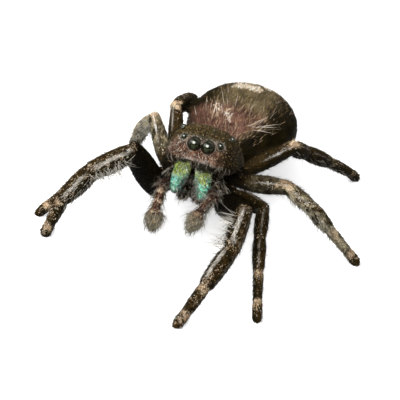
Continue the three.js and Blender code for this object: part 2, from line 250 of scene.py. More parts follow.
class Nodes:
    """A node tree, and what its expressions start from."""

    def __init__(self, tree: bpy.types.NodeTree) -> None:
        """Keeps the tree."""
        self.tree = tree

    def node(self, kind: str, settings: dict | None = None, **inputs: object) -> bpy.types.Node:
        """Adds a node.

        Args:
            kind: the node's type.
            settings: its own settings, set first.
            inputs: socket values or links, by socket name with spaces as underscores.

        Returns:
            The node.
        """
        node = self.tree.nodes.new(kind)
        for key, value in (settings or {}).items():
            setattr(node, key, value)
        for key, value in inputs.items():
            self.feed(node, key.replace("_", " "), value)
        return node

    def feed(self, node: bpy.types.Node, name: str, value: object) -> None:
        """Sets or links one input of a node.

        Args:
            node: the node.
            name: the input's name.
            value: a Value to link, or a plain setting.
        """
        socket = next(s for s in node.inputs if s.name == name and s.enabled)
        if isinstance(value, Value):
            self.tree.links.new(value.socket, socket)
        elif isinstance(value, np.ndarray):
            socket.default_value = (*value, 1.0)
        else:
            socket.default_value = value

    def result(self, node: bpy.types.Node, name: str) -> Value:
        """One output of a node."""
        return Value(self.tree, node.outputs[name])

    def seen_by(self, *rays: str) -> Value:
        """1 for rays of the given kinds, such as camera or glossy ones, and 0 for the rest."""
        path = self.node("ShaderNodeLightPath")
        first, *others = (self.result(path, f"Is {ray} Ray") for ray in rays)
        return sum(others, first)


class Shader(Nodes):
    """One material and the nodes that are added to it."""

    def __init__(self, name: str) -> None:
        """Starts a material with its principled shader.

        Args:
            name: the material's name.
        """
        self.material = bpy.data.materials.new(name)
        self.material.use_nodes = True
        super().__init__(self.material.node_tree)
        self.principled = self.tree.nodes["Principled BSDF"]

    def surface(self, **inputs: object) -> None:
        """Sets or links inputs of the principled shader."""
        for key, value in inputs.items():
            self.feed(self.principled, key.replace("_", " "), value)

    def place(self) -> Value:
        """Where a point is on the object, in metres."""
        return self.result(self.node("ShaderNodeTexCoord"), "Object")

    def upward(self) -> Value:
        """How much the surface faces up, -1 to 1."""
        normal = self.result(self.node("ShaderNodeNewGeometry"), "Normal")
        return self.result(self.node("ShaderNodeSeparateXYZ", Vector=normal), "Z")

    def pelage(self) -> Value:
        """The colour that the mesh itself carries."""
        return self.result(self.node("ShaderNodeAttribute", {"attribute_name": "pelage"}), "Color")

    def noise(self, size: float, detail: float = 2.0) -> Value:
        """Noise between 0 and 1, with grains of a size in millimetres and a number of finer layers."""
        node = self.node("ShaderNodeTexNoise", Vector=self.place(), Scale=1 / (size * MM), Detail=detail)
        return self.result(node, "Fac")

    def rough(self, grain: Value, middle: float, reach: float = 0.1) -> Value:
        """A roughness that goes as far as reach below and above the middle, with a grain from 0 to 1."""
        return grain * (2 * reach) + (middle - reach)

    def cells(self, size: float) -> Value:
        """Distance to the middle of the nearest cell, in cells; size is in millimetres."""
        node = self.node("ShaderNodeTexVoronoi", Vector=self.place(), Scale=1 / (size * MM))
        return self.result(node, "Distance")

    def mix(self, factor: Value | float, a: "Value | np.ndarray", b: "Value | np.ndarray") -> Value:
        """A colour between a and b."""
        node = self.node("ShaderNodeMix", {"data_type": "RGBA"}, Factor=factor, A=a, B=b)
        return Value(self.tree, next(s for s in node.outputs if s.enabled))

    def bump(self, height: Value, distance: float, strength: float) -> Value:
        """A bumped normal; distance is the relief's height in millimetres."""
        node = self.node("ShaderNodeBump", Height=height, Distance=distance * MM, Strength=strength)
        return self.result(node, "Normal")


@dataclass(frozen=True)
class SkinFinish:
    """Bare hide under the coat: dull, finely pitted, a little darker. Sizes are in millimetres."""

    name: str = "hide"
    roughness: float = 0.62
    specular: float = 0.06
    grain: float = 0.05
    pore: float = 0.09
    relief: float = 0.02

    def material(self) -> bpy.types.Material:
        """Builds the material.

        Returns:
            The material.
        """
        shader = Shader(self.name)
        coat = shader.pelage()
        grain = shader.noise(self.grain, 3.0)
        shader.surface(
            Base_Color=shader.mix(grain * 0.5 + 0.1, coat, INK),
            Roughness=shader.rough(grain, self.roughness),
            Specular_IOR_Level=self.specular,
            Normal=shader.bump(grain + shader.cells(self.pore) * 0.6, self.relief, 0.6),
        )
        return shader.material


@dataclass(frozen=True)
class HairFinish:
    """Hairs and scales: each carries its own colour, with a soft gloss. The grain is in millimetres."""

    name: str
    roughness: float = 0.5
    specular: float = 0.06
    grain: float = 0.03

    def material(self) -> bpy.types.Material:
        """Builds the material.

        Returns:
            The material.
        """
        shader = Shader(self.name)
        grain = shader.noise(self.grain, 1.0)
        shader.surface(
            Base_Color=shader.mix(grain * 0.25, shader.pelage(), INK),
            Roughness=shader.rough(grain, self.roughness),
            Specular_IOR_Level=self.specular,
        )
        return shader.material


@dataclass(frozen=True)
class LensFinish:
    """A black lens with an olive sheen, glossiest on the slope that looks up. The depth is in millimetres."""

    name: str = "lens"
    roughness: float = 0.1
    specular: float = 0.85
    gloss_ior: float = 1.9
    gloss_roughness: float = 0.06
    glossiest: float = 0.62
    falloff: float = 16.0
    depth: float = 0.25
    sheen: tuple[float, float, float, float] = (0.36, 0.42, 0.22, 1.0)

    def material(self) -> bpy.types.Material:
        """Builds the material.

        Returns:
            The material.
        """
        shader = Shader(self.name)
        depth = shader.noise(self.depth, 1.0)
        past = shader.upward() - self.glossiest
        shader.surface(
            Base_Color=shader.mix(depth, pigment("050402"), pigment("151708")),
            Roughness=self.roughness,
            Specular_IOR_Level=self.specular,
            Specular_Tint=self.sheen,
            Coat_Weight=1 - past * past * self.falloff,
            Coat_Roughness=self.gloss_roughness,
            Coat_IOR=self.gloss_ior,
        )
        return shader.material


@dataclass(frozen=True)
class JawFinish:
    """Metallic scales that carry their own colour. Sizes are in millimetres."""

    name: str
    roughness: float = 0.36
    metallic: float = 0.6
    grain: float = 0.05
    relief: float = 0.012

    def material(self) -> bpy.types.Material:
        """Builds the material.

        Returns:
            The material.
        """
        shader = Shader(self.name)
        grain = shader.cells(self.grain)
        shader.surface(
            Base_Color=shader.mix(grain * 0.5, shader.pelage(), INK),
            Roughness=shader.rough(grain, self.roughness),
            Metallic=self.metallic,
            Normal=shader.bump(1 - grain, self.relief, 0.7),
        )
        return shader.material


# ---------------------------------------------------------------- meshes from arrays

def shown(name: str, data: bpy.types.ID) -> bpy.types.Object:
    """A new object in the scene, for a mesh, a camera or a lamp."""
    thing = bpy.data.objects.new(name, data)
    bpy.context.scene.collection.objects.link(thing)
    return thing


@dataclass
class Cloth:
    """Nothing but arrays: points in millimetres, triangles, a colour and a map place for each point."""

    points: np.ndarray
    triangles: np.ndarray
    colours: np.ndarray
    places: np.ndarray | None = None

    def build(self, name: str, material: bpy.types.Material) -> bpy.types.Object:
        """Makes the object.

        Args:
            name: its name.
            material: its only material.

        Returns:
            The object, in the scene and shaded smooth.
        """
        mesh = bpy.data.meshes.new(name)
        count = len(self.triangles)
        mesh.vertices.add(len(self.points))
        mesh.vertices.foreach_set("co", (self.points * MM).astype(np.float32).ravel())
        mesh.loops.add(count * 3)
        mesh.loops.foreach_set("vertex_index", self.triangles.astype(np.int32).ravel())
        mesh.polygons.add(count)
        mesh.polygons.foreach_set("loop_start", np.arange(0, count * 3, 3, dtype=np.int32))
        mesh.polygons.foreach_set("use_smooth", np.ones(count, bool))
        mesh.update(calc_edges=True)
        tint = mesh.attributes.new("pelage", "FLOAT_COLOR", "POINT")
        rows = np.concatenate([self.colours, np.ones((len(self.points), 1))], axis=1)
        tint.data.foreach_set("color", rows.astype(np.float32).ravel())
        if self.places is not None:
            layer = mesh.uv_layers.new(name="OFBake")
            layer.data.foreach_set("uv", self.places[self.triangles.ravel()].astype(np.float32).ravel())
        mesh.materials.append(material)
        return shown(name, mesh)


def arrays(mesh: bpy.types.Mesh) -> tuple[np.ndarray, np.ndarray]:
    """A mesh as arrays.

    Args:
        mesh: the mesh.

    Returns:
        Its points, in its own unit, and its triangles.
    """
    mesh.calc_loop_triangles()
    points = np.empty(len(mesh.vertices) * 3, np.float32)
    mesh.vertices.foreach_get("co", points)
    triangles = np.empty(len(mesh.loop_triangles) * 3, np.int32)
    mesh.loop_triangles.foreach_get("vertices", triangles)
    return points.reshape(-1, 3), triangles.reshape(-1, 3)


def welded(node: str) -> tuple[np.ndarray, np.ndarray]:
    """A solid's shared points and its triangles.

    Args:
        node: the solid's name.

    Returns:
        The points, in millimetres, and the triangles.
    """
    points, triangles = arrays(frame["nodes"][node].data)
    shared, where = np.unique(np.round(points / MM, 4), axis=0, return_inverse=True)
    faces = where.ravel()[triangles]
    whole = (faces[:, 0] != faces[:, 1]) & (faces[:, 1] != faces[:, 2]) & (faces[:, 0] != faces[:, 2])
    return shared, faces[whole]


def middle_of(node: str) -> tuple[np.ndarray, np.ndarray, np.ndarray]:
    """A solid's lowest corner, its middle and its highest corner, in millimetres."""
    low, high = (np.array(corner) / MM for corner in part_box(node))
    return low, (low + high) / 2, high


def face_normals(points: np.ndarray, faces: np.ndarray) -> np.ndarray:
    """Each triangle's normal, as long as twice its area."""
    a, b, c = (points[faces[:, i]] for i in range(3))
    return np.cross(b - a, c - a)


def point_normals(points: np.ndarray, faces: np.ndarray) -> np.ndarray:
    """Each point's unit normal.

    Args:
        points: the mesh's points.
        faces: its triangles.

    Returns:
        The normals, where a large triangle counts for more.
    """
    normals = np.zeros_like(points)
    across = face_normals(points, faces)
    for i in range(3):
        for axis in range(3):
            normals[:, axis] += np.bincount(faces[:, i], across[:, axis], len(points))
    return unit(normals)


def spread(values: np.ndarray, faces: np.ndarray, rounds: int, share: float = 0.5) -> np.ndarray:
    """Evens out values over a mesh.

    Args:
        values: one row for each point.
        faces: the mesh's triangles.
        rounds: how many rounds; each is followed by one that moves back, so that the mesh keeps its size.
        share: how far each point moves to its neighbours' mean in a round.

    Returns:
        The evened values.
    """
    way_back = -1.06
    pairs = np.concatenate([faces[:, [0, 1]], faces[:, [1, 2]], faces[:, [2, 0]]])
    pairs = np.concatenate([pairs, pairs[:, ::-1]])
    count = np.maximum(np.bincount(pairs[:, 0], minlength=len(values)), 1)[:, None]
    for _ in range(rounds):
        for step in (share, share * way_back):
            total = np.stack([np.bincount(pairs[:, 0], values[pairs[:, 1], k], len(values))
                              for k in range(values.shape[1])], axis=1)
            values = values + step * (total / count - values)
    return values


def joined(solids: list[tuple[np.ndarray, np.ndarray]]) -> tuple[np.ndarray, np.ndarray]:
    """The points and triangles of several meshes as those of one."""
    starts = np.cumsum([0] + [len(points) for points, _ in solids])
    return (np.concatenate([points for points, _ in solids]),
            np.concatenate([faces + start for (_, faces), start in zip(solids, starts)]))


def remeshed(points: np.ndarray, faces: np.ndarray, voxel: float) -> tuple[np.ndarray, np.ndarray]:
    """One closed surface round overlapping solids.

    Args:
        points: the solids' points, in millimetres.
        faces: their triangles.
        voxel: the new mesh's step, in millimetres.

    Returns:
        The points and triangles of the surface.
    """
    mesh = bpy.data.meshes.new("rough")
    mesh.from_pydata(points.tolist(), [], faces.tolist())
    rough = shown("rough", mesh)
    modifier = rough.modifiers.new("one surface", "REMESH")
    modifier.mode = "VOXEL"
    modifier.voxel_size = voxel
    new_points, new_faces = arrays(rough.evaluated_get(bpy.context.evaluated_depsgraph_get()).to_mesh())
    bpy.data.objects.remove(rough)
    bpy.data.meshes.remove(mesh)
    return new_points.astype(float), new_faces


def sprinkled(points: np.ndarray, normals: np.ndarray, faces: np.ndarray, density: np.ndarray,
              rng: np.random.Generator) -> tuple[np.ndarray, np.ndarray, np.ndarray]:
    """Random places on a mesh.

    Args:
        points: its points, in millimetres.
        normals: their normals.
        faces: its triangles.
        density: how many places a square millimetre gets, for each triangle.
        rng: the source of chance.

    Returns:
        For each place the corners of its triangle, where it is, and the normal there.
    """
    chance = np.linalg.norm(face_normals(points, faces), axis=1) / 2 * density
    total = int(chance.sum())
    corners = faces[rng.choice(len(faces), total, p=chance / chance.sum())]
    weights = rng.dirichlet((1, 1, 1), total)[:, :, None]
    return corners, (points[corners] * weights).sum(1), unit((normals[corners] * weights).sum(1))


# ---------------------------------------------------------------- anatomy

class Kind(Enum):
    """What a piece of the body is."""

    HEAD = "carapace"
    BREAST = "sternum_coxae"
    ABDOMEN = "abdomen"
    SPINNERETS = "spinnerets"
    ARM = "arm"
    HAND = "hand"
    FEMUR = "femur"
    PATELLA = "patella"
    TIBIA = "tibia"
    METATARSUS = "metatarsus"
    TARSUS = "tarsus"


SEGMENTS = (Kind.FEMUR, Kind.PATELLA, Kind.TIBIA, Kind.METATARSUS, Kind.TARSUS)
DEPTH = {
    Kind.HEAD: 0.035, Kind.BREAST: 0.03, Kind.ABDOMEN: 0.1, Kind.SPINNERETS: 0.02, Kind.ARM: 0.03,
    Kind.HAND: 0.05, Kind.FEMUR: 0.03, Kind.PATELLA: 0.03, Kind.TIBIA: 0.03, Kind.METATARSUS: 0.025,
    Kind.TARSUS: 0.02,
}


@dataclass
class Piece:
    """One solid of flesh, with a line along its middle from root to tip."""

    name: str
    kind: Kind
    side: int
    number: int
    line: np.ndarray
    above: np.ndarray

    def measure(self, points: np.ndarray) -> tuple[np.ndarray, np.ndarray, np.ndarray, np.ndarray]:
        """Where points are on the piece.

        Args:
            points: the points, in millimetres.

        Returns:
            How far along it each is, from 0 to 1; the way along it; how far towards its top each faces,
            from 1 on top to -1 below; and how far towards its front side.
        """
        best = np.full(len(points), np.inf)
        along = np.zeros(len(points))
        way = np.zeros((len(points), 3))
        off = np.zeros((len(points), 3))
        lengths = np.linalg.norm(np.diff(self.line, axis=0), axis=1)
        for i, length in enumerate(lengths):
            axis = (self.line[i + 1] - self.line[i]) / length
            reach = (points - self.line[i]) @ axis
            nearest = self.line[i] + np.clip(reach, 0, length)[:, None] * axis
            distance = np.linalg.norm(points - nearest, axis=1)
            closer = distance < best
            best[closer] = distance[closer]
            along[closer] = (lengths[:i].sum() + reach[closer]) / lengths.sum()
            way[closer] = axis
            off[closer] = (points - nearest)[closer]
        across = flattened(off, way)
        top = flattened(self.above, way)
        front = np.cross(way, top) * self.side
        return along, way, (across * top).sum(1), (across * front).sum(1)


@dataclass
class Spots:
    """Points on the skin and what the coat needs to know about each."""

    place: np.ndarray
    normal: np.ndarray
    piece: np.ndarray
    along: np.ndarray
    way: np.ndarray
    top: np.ndarray
    front: np.ndarray
    kind: np.ndarray
    number: np.ndarray
    side: np.ndarray
    head: np.ndarray
    facing: np.ndarray

    def __len__(self) -> int:
        """How many points there are."""
        return len(self.place)

    @property
    def round(self) -> np.ndarray:
        """The angle round each point's piece, from its top towards its front."""
        return np.arctan2(self.front, self.top)

    def of(self, *kinds: Kind) -> np.ndarray:
        """1 on the given kinds of piece and 0 elsewhere."""
        return np.isin(self.kind, [k.value for k in kinds]).astype(float)

    def leg(self, number: int, side: int = 0) -> np.ndarray:
        """Whether each point is on a leg of this number, on one side or, without one, on either."""
        return (self.number == number) & (self.side * side >= 0)

    def only(self, keep: np.ndarray) -> "Spots":
        """The spots where keep is true."""
        return Spots(*(getattr(self, part.name)[keep] for part in fields(self)))


@dataclass
class HeadFrame:
    """The head's own axes: it is turned and raised a little. Sizes are in millimetres and degrees."""

    turn: float = 6.0
    pitch: float = 14.0
    eyes_at: tuple[float, float, float] = (0.0, -2.45, 0.765)

    def __post_init__(self) -> None:
        """Finds the axes, and the head's centre from its two main eyes."""
        turn = Matrix.Rotation(math.radians(self.turn), 3, "Z")
        raised = Matrix.Rotation(-math.radians(self.pitch), 3, "X")
        self.axes = np.array(turn @ raised)
        middles = [middle_of(f"eye_main_{side}")[1] for side, _ in SIDES]
        self.centre = np.mean(middles, axis=0) - self.axes @ np.array(self.eyes_at)

    def inside(self, points: np.ndarray) -> np.ndarray:
        """Points in the head's own frame."""
        return (points - self.centre) @ self.axes

    def outside(self, points: np.ndarray) -> np.ndarray:
        """Points of the head's frame in the model's."""
        return points @ self.axes.T + self.centre

    def turned(self, ways: np.ndarray) -> np.ndarray:
        """Directions in the head's own frame."""
        return ways @ self.axes


@dataclass
class Anatomy:
    """Every solid of flesh, with its line and its place in the body. Lengths are in millimetres."""

    head: HeadFrame
    tip_points: int = 12
    elbow_points: int = 16
    elbow_depth: float = 0.15
    solids: dict[str, tuple[np.ndarray, np.ndarray]] = field(default_factory=dict, init=False)
    pieces: list[Piece] = field(default_factory=list, init=False)

    def __post_init__(self) -> None:
        """Reads the solids and finds each one's line."""
        self.add("carapace", Kind.HEAD, 1, 0, self.head.outside(np.array([[0, -2.4, 0.3], [0, 2.2, 0.3]])))
        self.add("sternum_coxae", Kind.BREAST, 1, 0,
                 self.head.outside(np.array([[0, -2.0, -0.9], [0, 1.9, -0.9]])))
        low, middle, high = middle_of("abdomen")
        self.add("abdomen", Kind.ABDOMEN, 1, 0,
                 np.array([[middle[0], low[1], middle[2]], [middle[0], high[1], middle[2]]]))
        self.add("spinnerets", Kind.SPINNERETS, 1, 0, self.straight("spinnerets", middle))
        for side_name, side in SIDES:
            for number in range(1, 5):
                self.add_leg(f"leg_{side_name}_{number}", side, number)
            arm = self.bent(f"palp_{side_name}_arm", f"palp_{side_name}_hand")
            self.add(f"palp_{side_name}_arm", Kind.ARM, side, 0, arm)
            self.add(f"palp_{side_name}_hand", Kind.HAND, side, 0,
                     self.straight(f"palp_{side_name}_hand", arm[-1]))

    def add(self, name: str, kind: Kind, side: int, number: int, line: np.ndarray,
            above: np.ndarray = UP) -> None:
        """Keeps one piece, its solid and the way that its back faces."""
        self.solids[name] = welded(name)
        self.pieces.append(Piece(name, kind, side, number, line, above))

    def add_leg(self, name: str, side: int, number: int) -> None:
        """Keeps a leg's five pieces.

        Args:
            name: the leg's name.
            side: 1 for the left and -1 for the right.
            number: its number, from the front.
        """
        lines = [self.head.centre[None]]
        for segment in SEGMENTS:
            lines.append(self.straight(f"{name}_{segment.value}", lines[-1][-1]))
        hip, knee, toe = lines[1][0], lines[1][1], lines[-1][1]
        above = flattened(knee - hip, unit(toe - hip))
        for segment, line in zip(SEGMENTS, lines[1:]):
            self.add(f"{name}_{segment.value}", segment, side, number, line, above)

    def straight(self, name: str, root: np.ndarray) -> np.ndarray:
        """The middle line of a straight solid.

        Args:
            name: the solid's name.
            root: a point nearer to its root than to its tip.

        Returns:
            The line's two ends, root first.
        """
        points, _ = welded(name)
        centre = points.mean(0)
        axis = np.linalg.svd(points - centre, full_matrices=False)[2][0]
        reach = (points - centre) @ axis
        ends = centre + np.outer([reach.min(), reach.max()], axis)
        return ends if np.linalg.norm(ends[0] - root) < np.linalg.norm(ends[1] - root) else ends[::-1]

    def bent(self, name: str, next_name: str) -> np.ndarray:
        """The middle line of a solid with one elbow.

        Args:
            name: the solid's name.
            next_name: the solid that it leads to.

        Returns:
            Root, elbow and far end.
        """
        points, _ = welded(name)
        goal = welded(next_name)[0].mean(0)
        tip = points[np.argsort(np.linalg.norm(points - goal, axis=1))[:self.tip_points]].mean(0)
        root = points[np.argsort(-points[:, 1])[:self.tip_points]].mean(0)
        axis = unit(tip - root)
        off = points - root
        aside = np.linalg.norm(off - np.outer(off @ axis, axis), axis=1)
        elbow = points[np.argsort(-aside)[:self.elbow_points]].mean(0)
        inward = unit((root + tip) / 2 - elbow)
        return np.array([root, elbow + inward * self.elbow_depth, tip])

    def nearest(self) -> tuple[BVHTree, np.ndarray]:
        """All solids, for a search of the nearest one.

        Returns:
            The search tree, and the piece of each of its faces.
        """
        solids = [self.solids[piece.name] for piece in self.pieces]
        points, faces = joined(solids)
        owners = np.repeat(np.arange(len(solids)), [len(triangles) for _, triangles in solids])
        return BVHTree.FromPolygons(points.tolist(), faces.tolist()), owners

    def spots(self, place: np.ndarray, normal: np.ndarray, owner: np.ndarray) -> Spots:
        """All that is known of points on the skin.

        Args:
            place: the points.
            normal: the skin's normals there.
            owner: the piece that each lies on.

        Returns:
            The points' facts.
        """
        size = len(place)
        along, top, front = np.zeros(size), np.zeros(size), np.zeros(size)
        way = np.zeros((size, 3))
        for index, piece in enumerate(self.pieces):
            here = owner == index
            if here.any():
                along[here], way[here], top[here], front[here] = piece.measure(place[here])
        kinds = np.array([p.kind.value for p in self.pieces])
        numbers = np.array([p.number for p in self.pieces])
        sides = np.array([p.side for p in self.pieces])
        return Spots(place, normal, owner, along, way, top, front, kinds[owner], numbers[owner],
                     sides[owner], self.head.inside(place), self.head.turned(normal))


# ---------------------------------------------------------------- markings

@dataclass(frozen=True)
class Eye:
    """An eyeball: its centre and radius in millimetres."""

    name: str
    centre: np.ndarray
    radius: float


def all_eyes() -> list[Eye]:
    """The eight eyes, measured on their solids.

    Returns:
        The eyes, the four in front first.
    """
    found = []
    for name in (f"{kind}_{side}" for kind in ("main", "side", "small", "rear") for side, _ in SIDES):
        low, middle, high = middle_of(f"eye_{name}")
        found.append(Eye(name, middle, float((high - low).max() / 2)))
    return found


@dataclass
class Markings:
    """The colours of the coat and of the skin beneath it. Places are in millimetres or shares of a length."""

    eyes: list[Eye]
    pale_spots: tuple[tuple[float, float], ...] = ((0.8, 0.32), (0.88, 0.45))
    stripe_strength: tuple[float, ...] = (0.0, 0.9, 0.4, 0.5, 0.25)

    def lens_gap(self, spots: Spots) -> np.ndarray:
        """How far each point is from the edge of the nearest lens."""
        return np.min([np.linalg.norm(spots.place - eye.centre, axis=1) - eye.radius for eye in self.eyes],
                      axis=0)

    def face(self, spots: Spots) -> np.ndarray:
        """1 on the front of the head, falling to 0 round its edges."""
        return ramp(-spots.facing[:, 1], 0.15, 0.6) * ramp(spots.head[:, 1], -1.2, -2.0)

    def pale_face(self, spots: Spots) -> np.ndarray:
        """The pale hairs on the face: a moustache over the jaws, and patches round the eyes.

        Args:
            spots: points on the head.

        Returns:
            Their share at each point.
        """
        x, _, z = spots.head.T
        away = np.abs(x)
        middle = 0.12 - 0.09 * ramp(x, -0.15, 0.1) - 0.34 * np.maximum(away - 0.55, 0)
        half = 0.04 + 0.03 * band(x, 0.3, 0.25, 0.1)
        moustache = band(z, middle, half, 0.07) * ramp(away, 1.3, 0.9)
        moustache = moustache * (1 - 0.6 * band(x, -0.08, 0.02, 0.04))
        moustache = moustache * ramp(Mottle.MOUSTACHE.at(spots.place), -1.0, 0.1)
        brow_top = 1.0 + 0.1 * ramp(x, 0.2, 0.6)
        brow = ramp(self.lens_gap(spots), 0.12, 0.04) * ramp(z, 0.62, 0.85)
        brow = brow * ramp(z - brow_top, 0.05, -0.04) * ramp(away, 1.2, 1.0)
        brow = brow * ramp(Mottle.BROW.at(spots.place), -0.7, 0.4)
        cheek = 0.14 * ramp(away, 0.5, 0.9) * band(z, 0.35, 0.3, 0.2) * ramp(x, 0.6, -0.4)
        lip = 0.16 * band(z, 0.22, 0.12, 0.1) * ramp(away, 1.0, 0.6)
        return np.clip(moustache * 1.3 + brow * 0.62 + cheek + lip, 0, 1.3) * self.face(spots)

    def head(self, spots: Spots) -> np.ndarray:
        """The head's colours: maroon in front, olive on top, black brown at the sides, with a painted olive
        reflection on the face and painted shade on the side towards positive x.

        Args:
            spots: points on the head.

        Returns:
            Their colours.
        """
        x, _, z = spots.head.T
        face = self.face(spots)
        gap = self.lens_gap(spots)
        top = ramp(spots.facing[:, 2], 0.35, 0.75)
        colour = blend(DARK, OLIVE * 0.66, top * 0.85)
        colour = blend(colour, BROWN, ramp(np.abs(x), 1.9, 1.3) * (1 - top) * 0.6)
        colour = blend(colour, FLUSH, face * ramp(z, 1.05, 0.85) * 0.95)
        colour = blend(colour, GREY * 0.34, face * ramp(gap, 0.3, 0.1) * ramp(z, 0.6, 0.8) * 0.85)
        # Painted reflection: an olive tint over the face towards positive x.
        colour = blend(colour, OLIVE * 0.75, face * ramp(x, 0.6, 1.2) * 0.6)
        # Painted shade: the side towards positive x made darker.
        colour = blend(colour, DARK, ramp(x, 0.95, 1.35) * 0.8)
        colour = blend(colour, INK, ramp(gap, 0.05, 0.03) * 0.9)
        colour = blend(colour, ROSE, self.pale_face(spots) * 0.6)
        return shaded(colour, 0.3 * Mottle.HEAD.at(spots.place))

    def abdomen(self, spots: Spots) -> np.ndarray:
        """The abdomen's colours: maroon pile in front, olive above, dark flanks, pale bars and spots, with
        painted shade where the head comes close to its front.

        Args:
            spots: points on the abdomen.

        Returns:
            Their colours.
        """
        t, turn = spots.along, spots.round
        colour = blend(DARK, MOSS * [1.25, 1.28, 1.5], ramp(np.abs(turn), 1.0, 0.5))
        # The maroon stops short of one flank; near the front, next to the head, it stops sooner still as
        # painted shade.
        flank_edge_and_head_shade = ramp(turn + 1.6 * np.maximum(0.24 - t, 0), 1.0, 0.66)
        front = ramp(t, 0.44, 0.3) * ramp(turn, -1.75, -1.1) * flank_edge_and_head_shade
        colour = blend(colour, MAROON * [1.65, 1.82, 2.2], front)
        colour = blend(colour, INK, ramp(spots.top, -0.1, -0.5) * 0.5)
        colour = shaded(colour, 0.3 * Mottle.ABDOMEN.at(spots.place))
        return blend(colour, CREAM, self.abdomen_spots(spots) * 0.9)

    def abdomen_spots(self, spots: Spots) -> np.ndarray:
        """The abdomen's pale bar and its pairs of pale spots.

        Args:
            spots: points on the abdomen.

        Returns:
            1 on them and 0 elsewhere.
        """
        t, turn = spots.along + 0.006 * Mottle.BAR.at(spots.place), spots.round
        bar = band(t - 0.03 * (turn + 0.22) ** 2, 0.682, 0.043, 0.008) * band(turn, -0.22, 0.42, 0.05)
        pairs = sum(band(t, at, 0.014, 0.014) * band(np.abs(turn), out, 0.08, 0.06)
                    for at, out in self.pale_spots)
        return np.clip(bar + pairs, 0, 1)

    def stripe(self, spots: Spots) -> np.ndarray:
        """The smooth bare stripes along the front and rear of a leg's back: the stripes are real, their grey
        is a painted sheen of the shining cuticle.

        Args:
            spots: points on the legs.

        Returns:
            1 on a stripe at its clearest and 0 elsewhere.
        """
        turn = spots.round
        middle = 0.45 * spots.of(Kind.FEMUR) + 0.6 * spots.of(Kind.PATELLA) + 0.82 * spots.of(Kind.TIBIA)
        half = np.where(spots.leg(1), 0.15, 0.06)
        near = band(np.abs(turn) + 0.05 * Mottle.STRIPE.at(spots.place), middle, half, 0.1)
        striped = spots.of(Kind.PATELLA, Kind.TIBIA) + spots.of(Kind.FEMUR) * spots.leg(2)
        clear = np.array(self.stripe_strength)[spots.number] * np.where(turn > 0, 1.0, 0.3)
        return near * striped * clear * ramp(spots.along, 0.04, 0.22) * ramp(spots.along, 0.94, 0.8)

    def leg(self, spots: Spots) -> np.ndarray:
        """A leg's colours: near black with stripes of painted grey sheen, and cream joints.

        Args:
            spots: points on the legs.

        Returns:
            Their colours.
        """
        femur = spots.of(Kind.FEMUR)
        colour = blend(DARK, BROWN * 1.1, ramp(spots.top, 0.2, 0.9) * 0.7)
        colour = blend(colour, INK, ramp(spots.top, 0.1, -0.5) * 0.4)
        colour = blend(colour, GREY * np.where(spots.side < 0, 2.6, 2.3)[:, None], self.grey_side(spots))
        # Painted highlight: silver along the bare stripes for their sheen.
        colour = blend(colour, SILVER * 1.25, self.stripe(spots))
        colour = blend(colour, INK, femur * spots.leg(1) * 0.75)
        streak = band(spots.round, np.where(spots.leg(4, -1), 0.1, 0.5), 0.05, 0.08)
        streak = streak * femur * ramp(spots.along, 0.25, 0.7) * (spots.number > 2)
        colour = blend(colour, WHITE * 1.1, streak * 0.85)
        colour = blend(colour, CREAM, self.joint_patches(spots) * np.where(spots.leg(4), 0.9, 0.55))
        return shaded(colour, 0.3 * Mottle.LEG.at(spots.place))

    def grey_side(self, spots: Spots) -> np.ndarray:
        """The share of grey on the third legs: in front and on top, and along the whole right femur.

        Args:
            spots: points on the legs.

        Returns:
            The share at each point.
        """
        grey = spots.of(Kind.PATELLA, Kind.TIBIA, Kind.METATARSUS) * ramp(spots.front, -0.5, 0.3) * 0.9
        grey = grey + spots.of(Kind.FEMUR) * np.where(spots.side < 0, 0.5, 0.25) * ramp(spots.along, 0.1, 0.4)
        return grey * spots.leg(3) * ramp(Mottle.GREY_SIDE.at(spots.place), -1.0, 0.3)

    def joint_patches(self, spots: Spots) -> np.ndarray:
        """The pale patches at a leg's joints, faint on the left fourth leg.

        Args:
            spots: points on the legs.

        Returns:
            1 on a patch and 0 elsewhere.
        """
        top = spots.top
        ragged = spots.along + 0.09 * Mottle.JOINT.at(spots.place)
        knee = spots.of(Kind.FEMUR) * ramp(ragged, 0.82, 0.9)
        knee = knee + spots.of(Kind.PATELLA) * ramp(ragged, 0.16, 0.06)
        knee = knee * (spots.number > 2) * ramp(top, 0.3, 0.75)
        foot = spots.of(Kind.METATARSUS) * ramp(ragged, 0.3, 0.16) * ramp(top, -0.3, 0.4)
        toe = spots.of(Kind.TARSUS) * ramp(ragged, 0.34, 0.2) * ramp(top, -0.5, 0.2)
        faint = np.where(spots.leg(4, 1), 0.2, 1.0)
        return np.clip(knee * 0.95 + (foot * 0.6 + toe * 0.85) * faint, 0, 1)

    def palp(self, spots: Spots) -> np.ndarray:
        """A palp's colours: maroon brown with cream joints, and a grey hand.

        Args:
            spots: points on the palps.

        Returns:
            Their colours.
        """
        colour = blend(PLUM, GREY * 1.35, spots.of(Kind.HAND) * ramp(spots.along, 0.08, 0.3))
        colour = shaded(colour, 0.4 * Mottle.PALP.at(spots.place))
        return blend(colour, CREAM, self.palp_joints(spots) * 0.5)

    def palp_joints(self, spots: Spots) -> np.ndarray:
        """The pale spots at a palp's joints.

        Args:
            spots: points on the palps.

        Returns:
            1 on a spot and 0 elsewhere.
        """
        t = spots.along + 0.02 * Mottle.PALP_JOINT.at(spots.place)
        upper, lower = 0.62 - 0.08 * spots.side, 0.87 - 0.045 * spots.side
        arm = band(t - upper, 0, 0.012, 0.02) + band(t - lower, 0, 0.008, 0.015)
        hand = band(t, 0.06, 0.03, 0.03) + 0.25 * band(t, 0.42, 0.02, 0.05)
        joints = spots.of(Kind.ARM) * arm + spots.of(Kind.HAND) * hand
        return np.clip(joints, 0, 1) * ramp(spots.top, -0.3, 0.4)

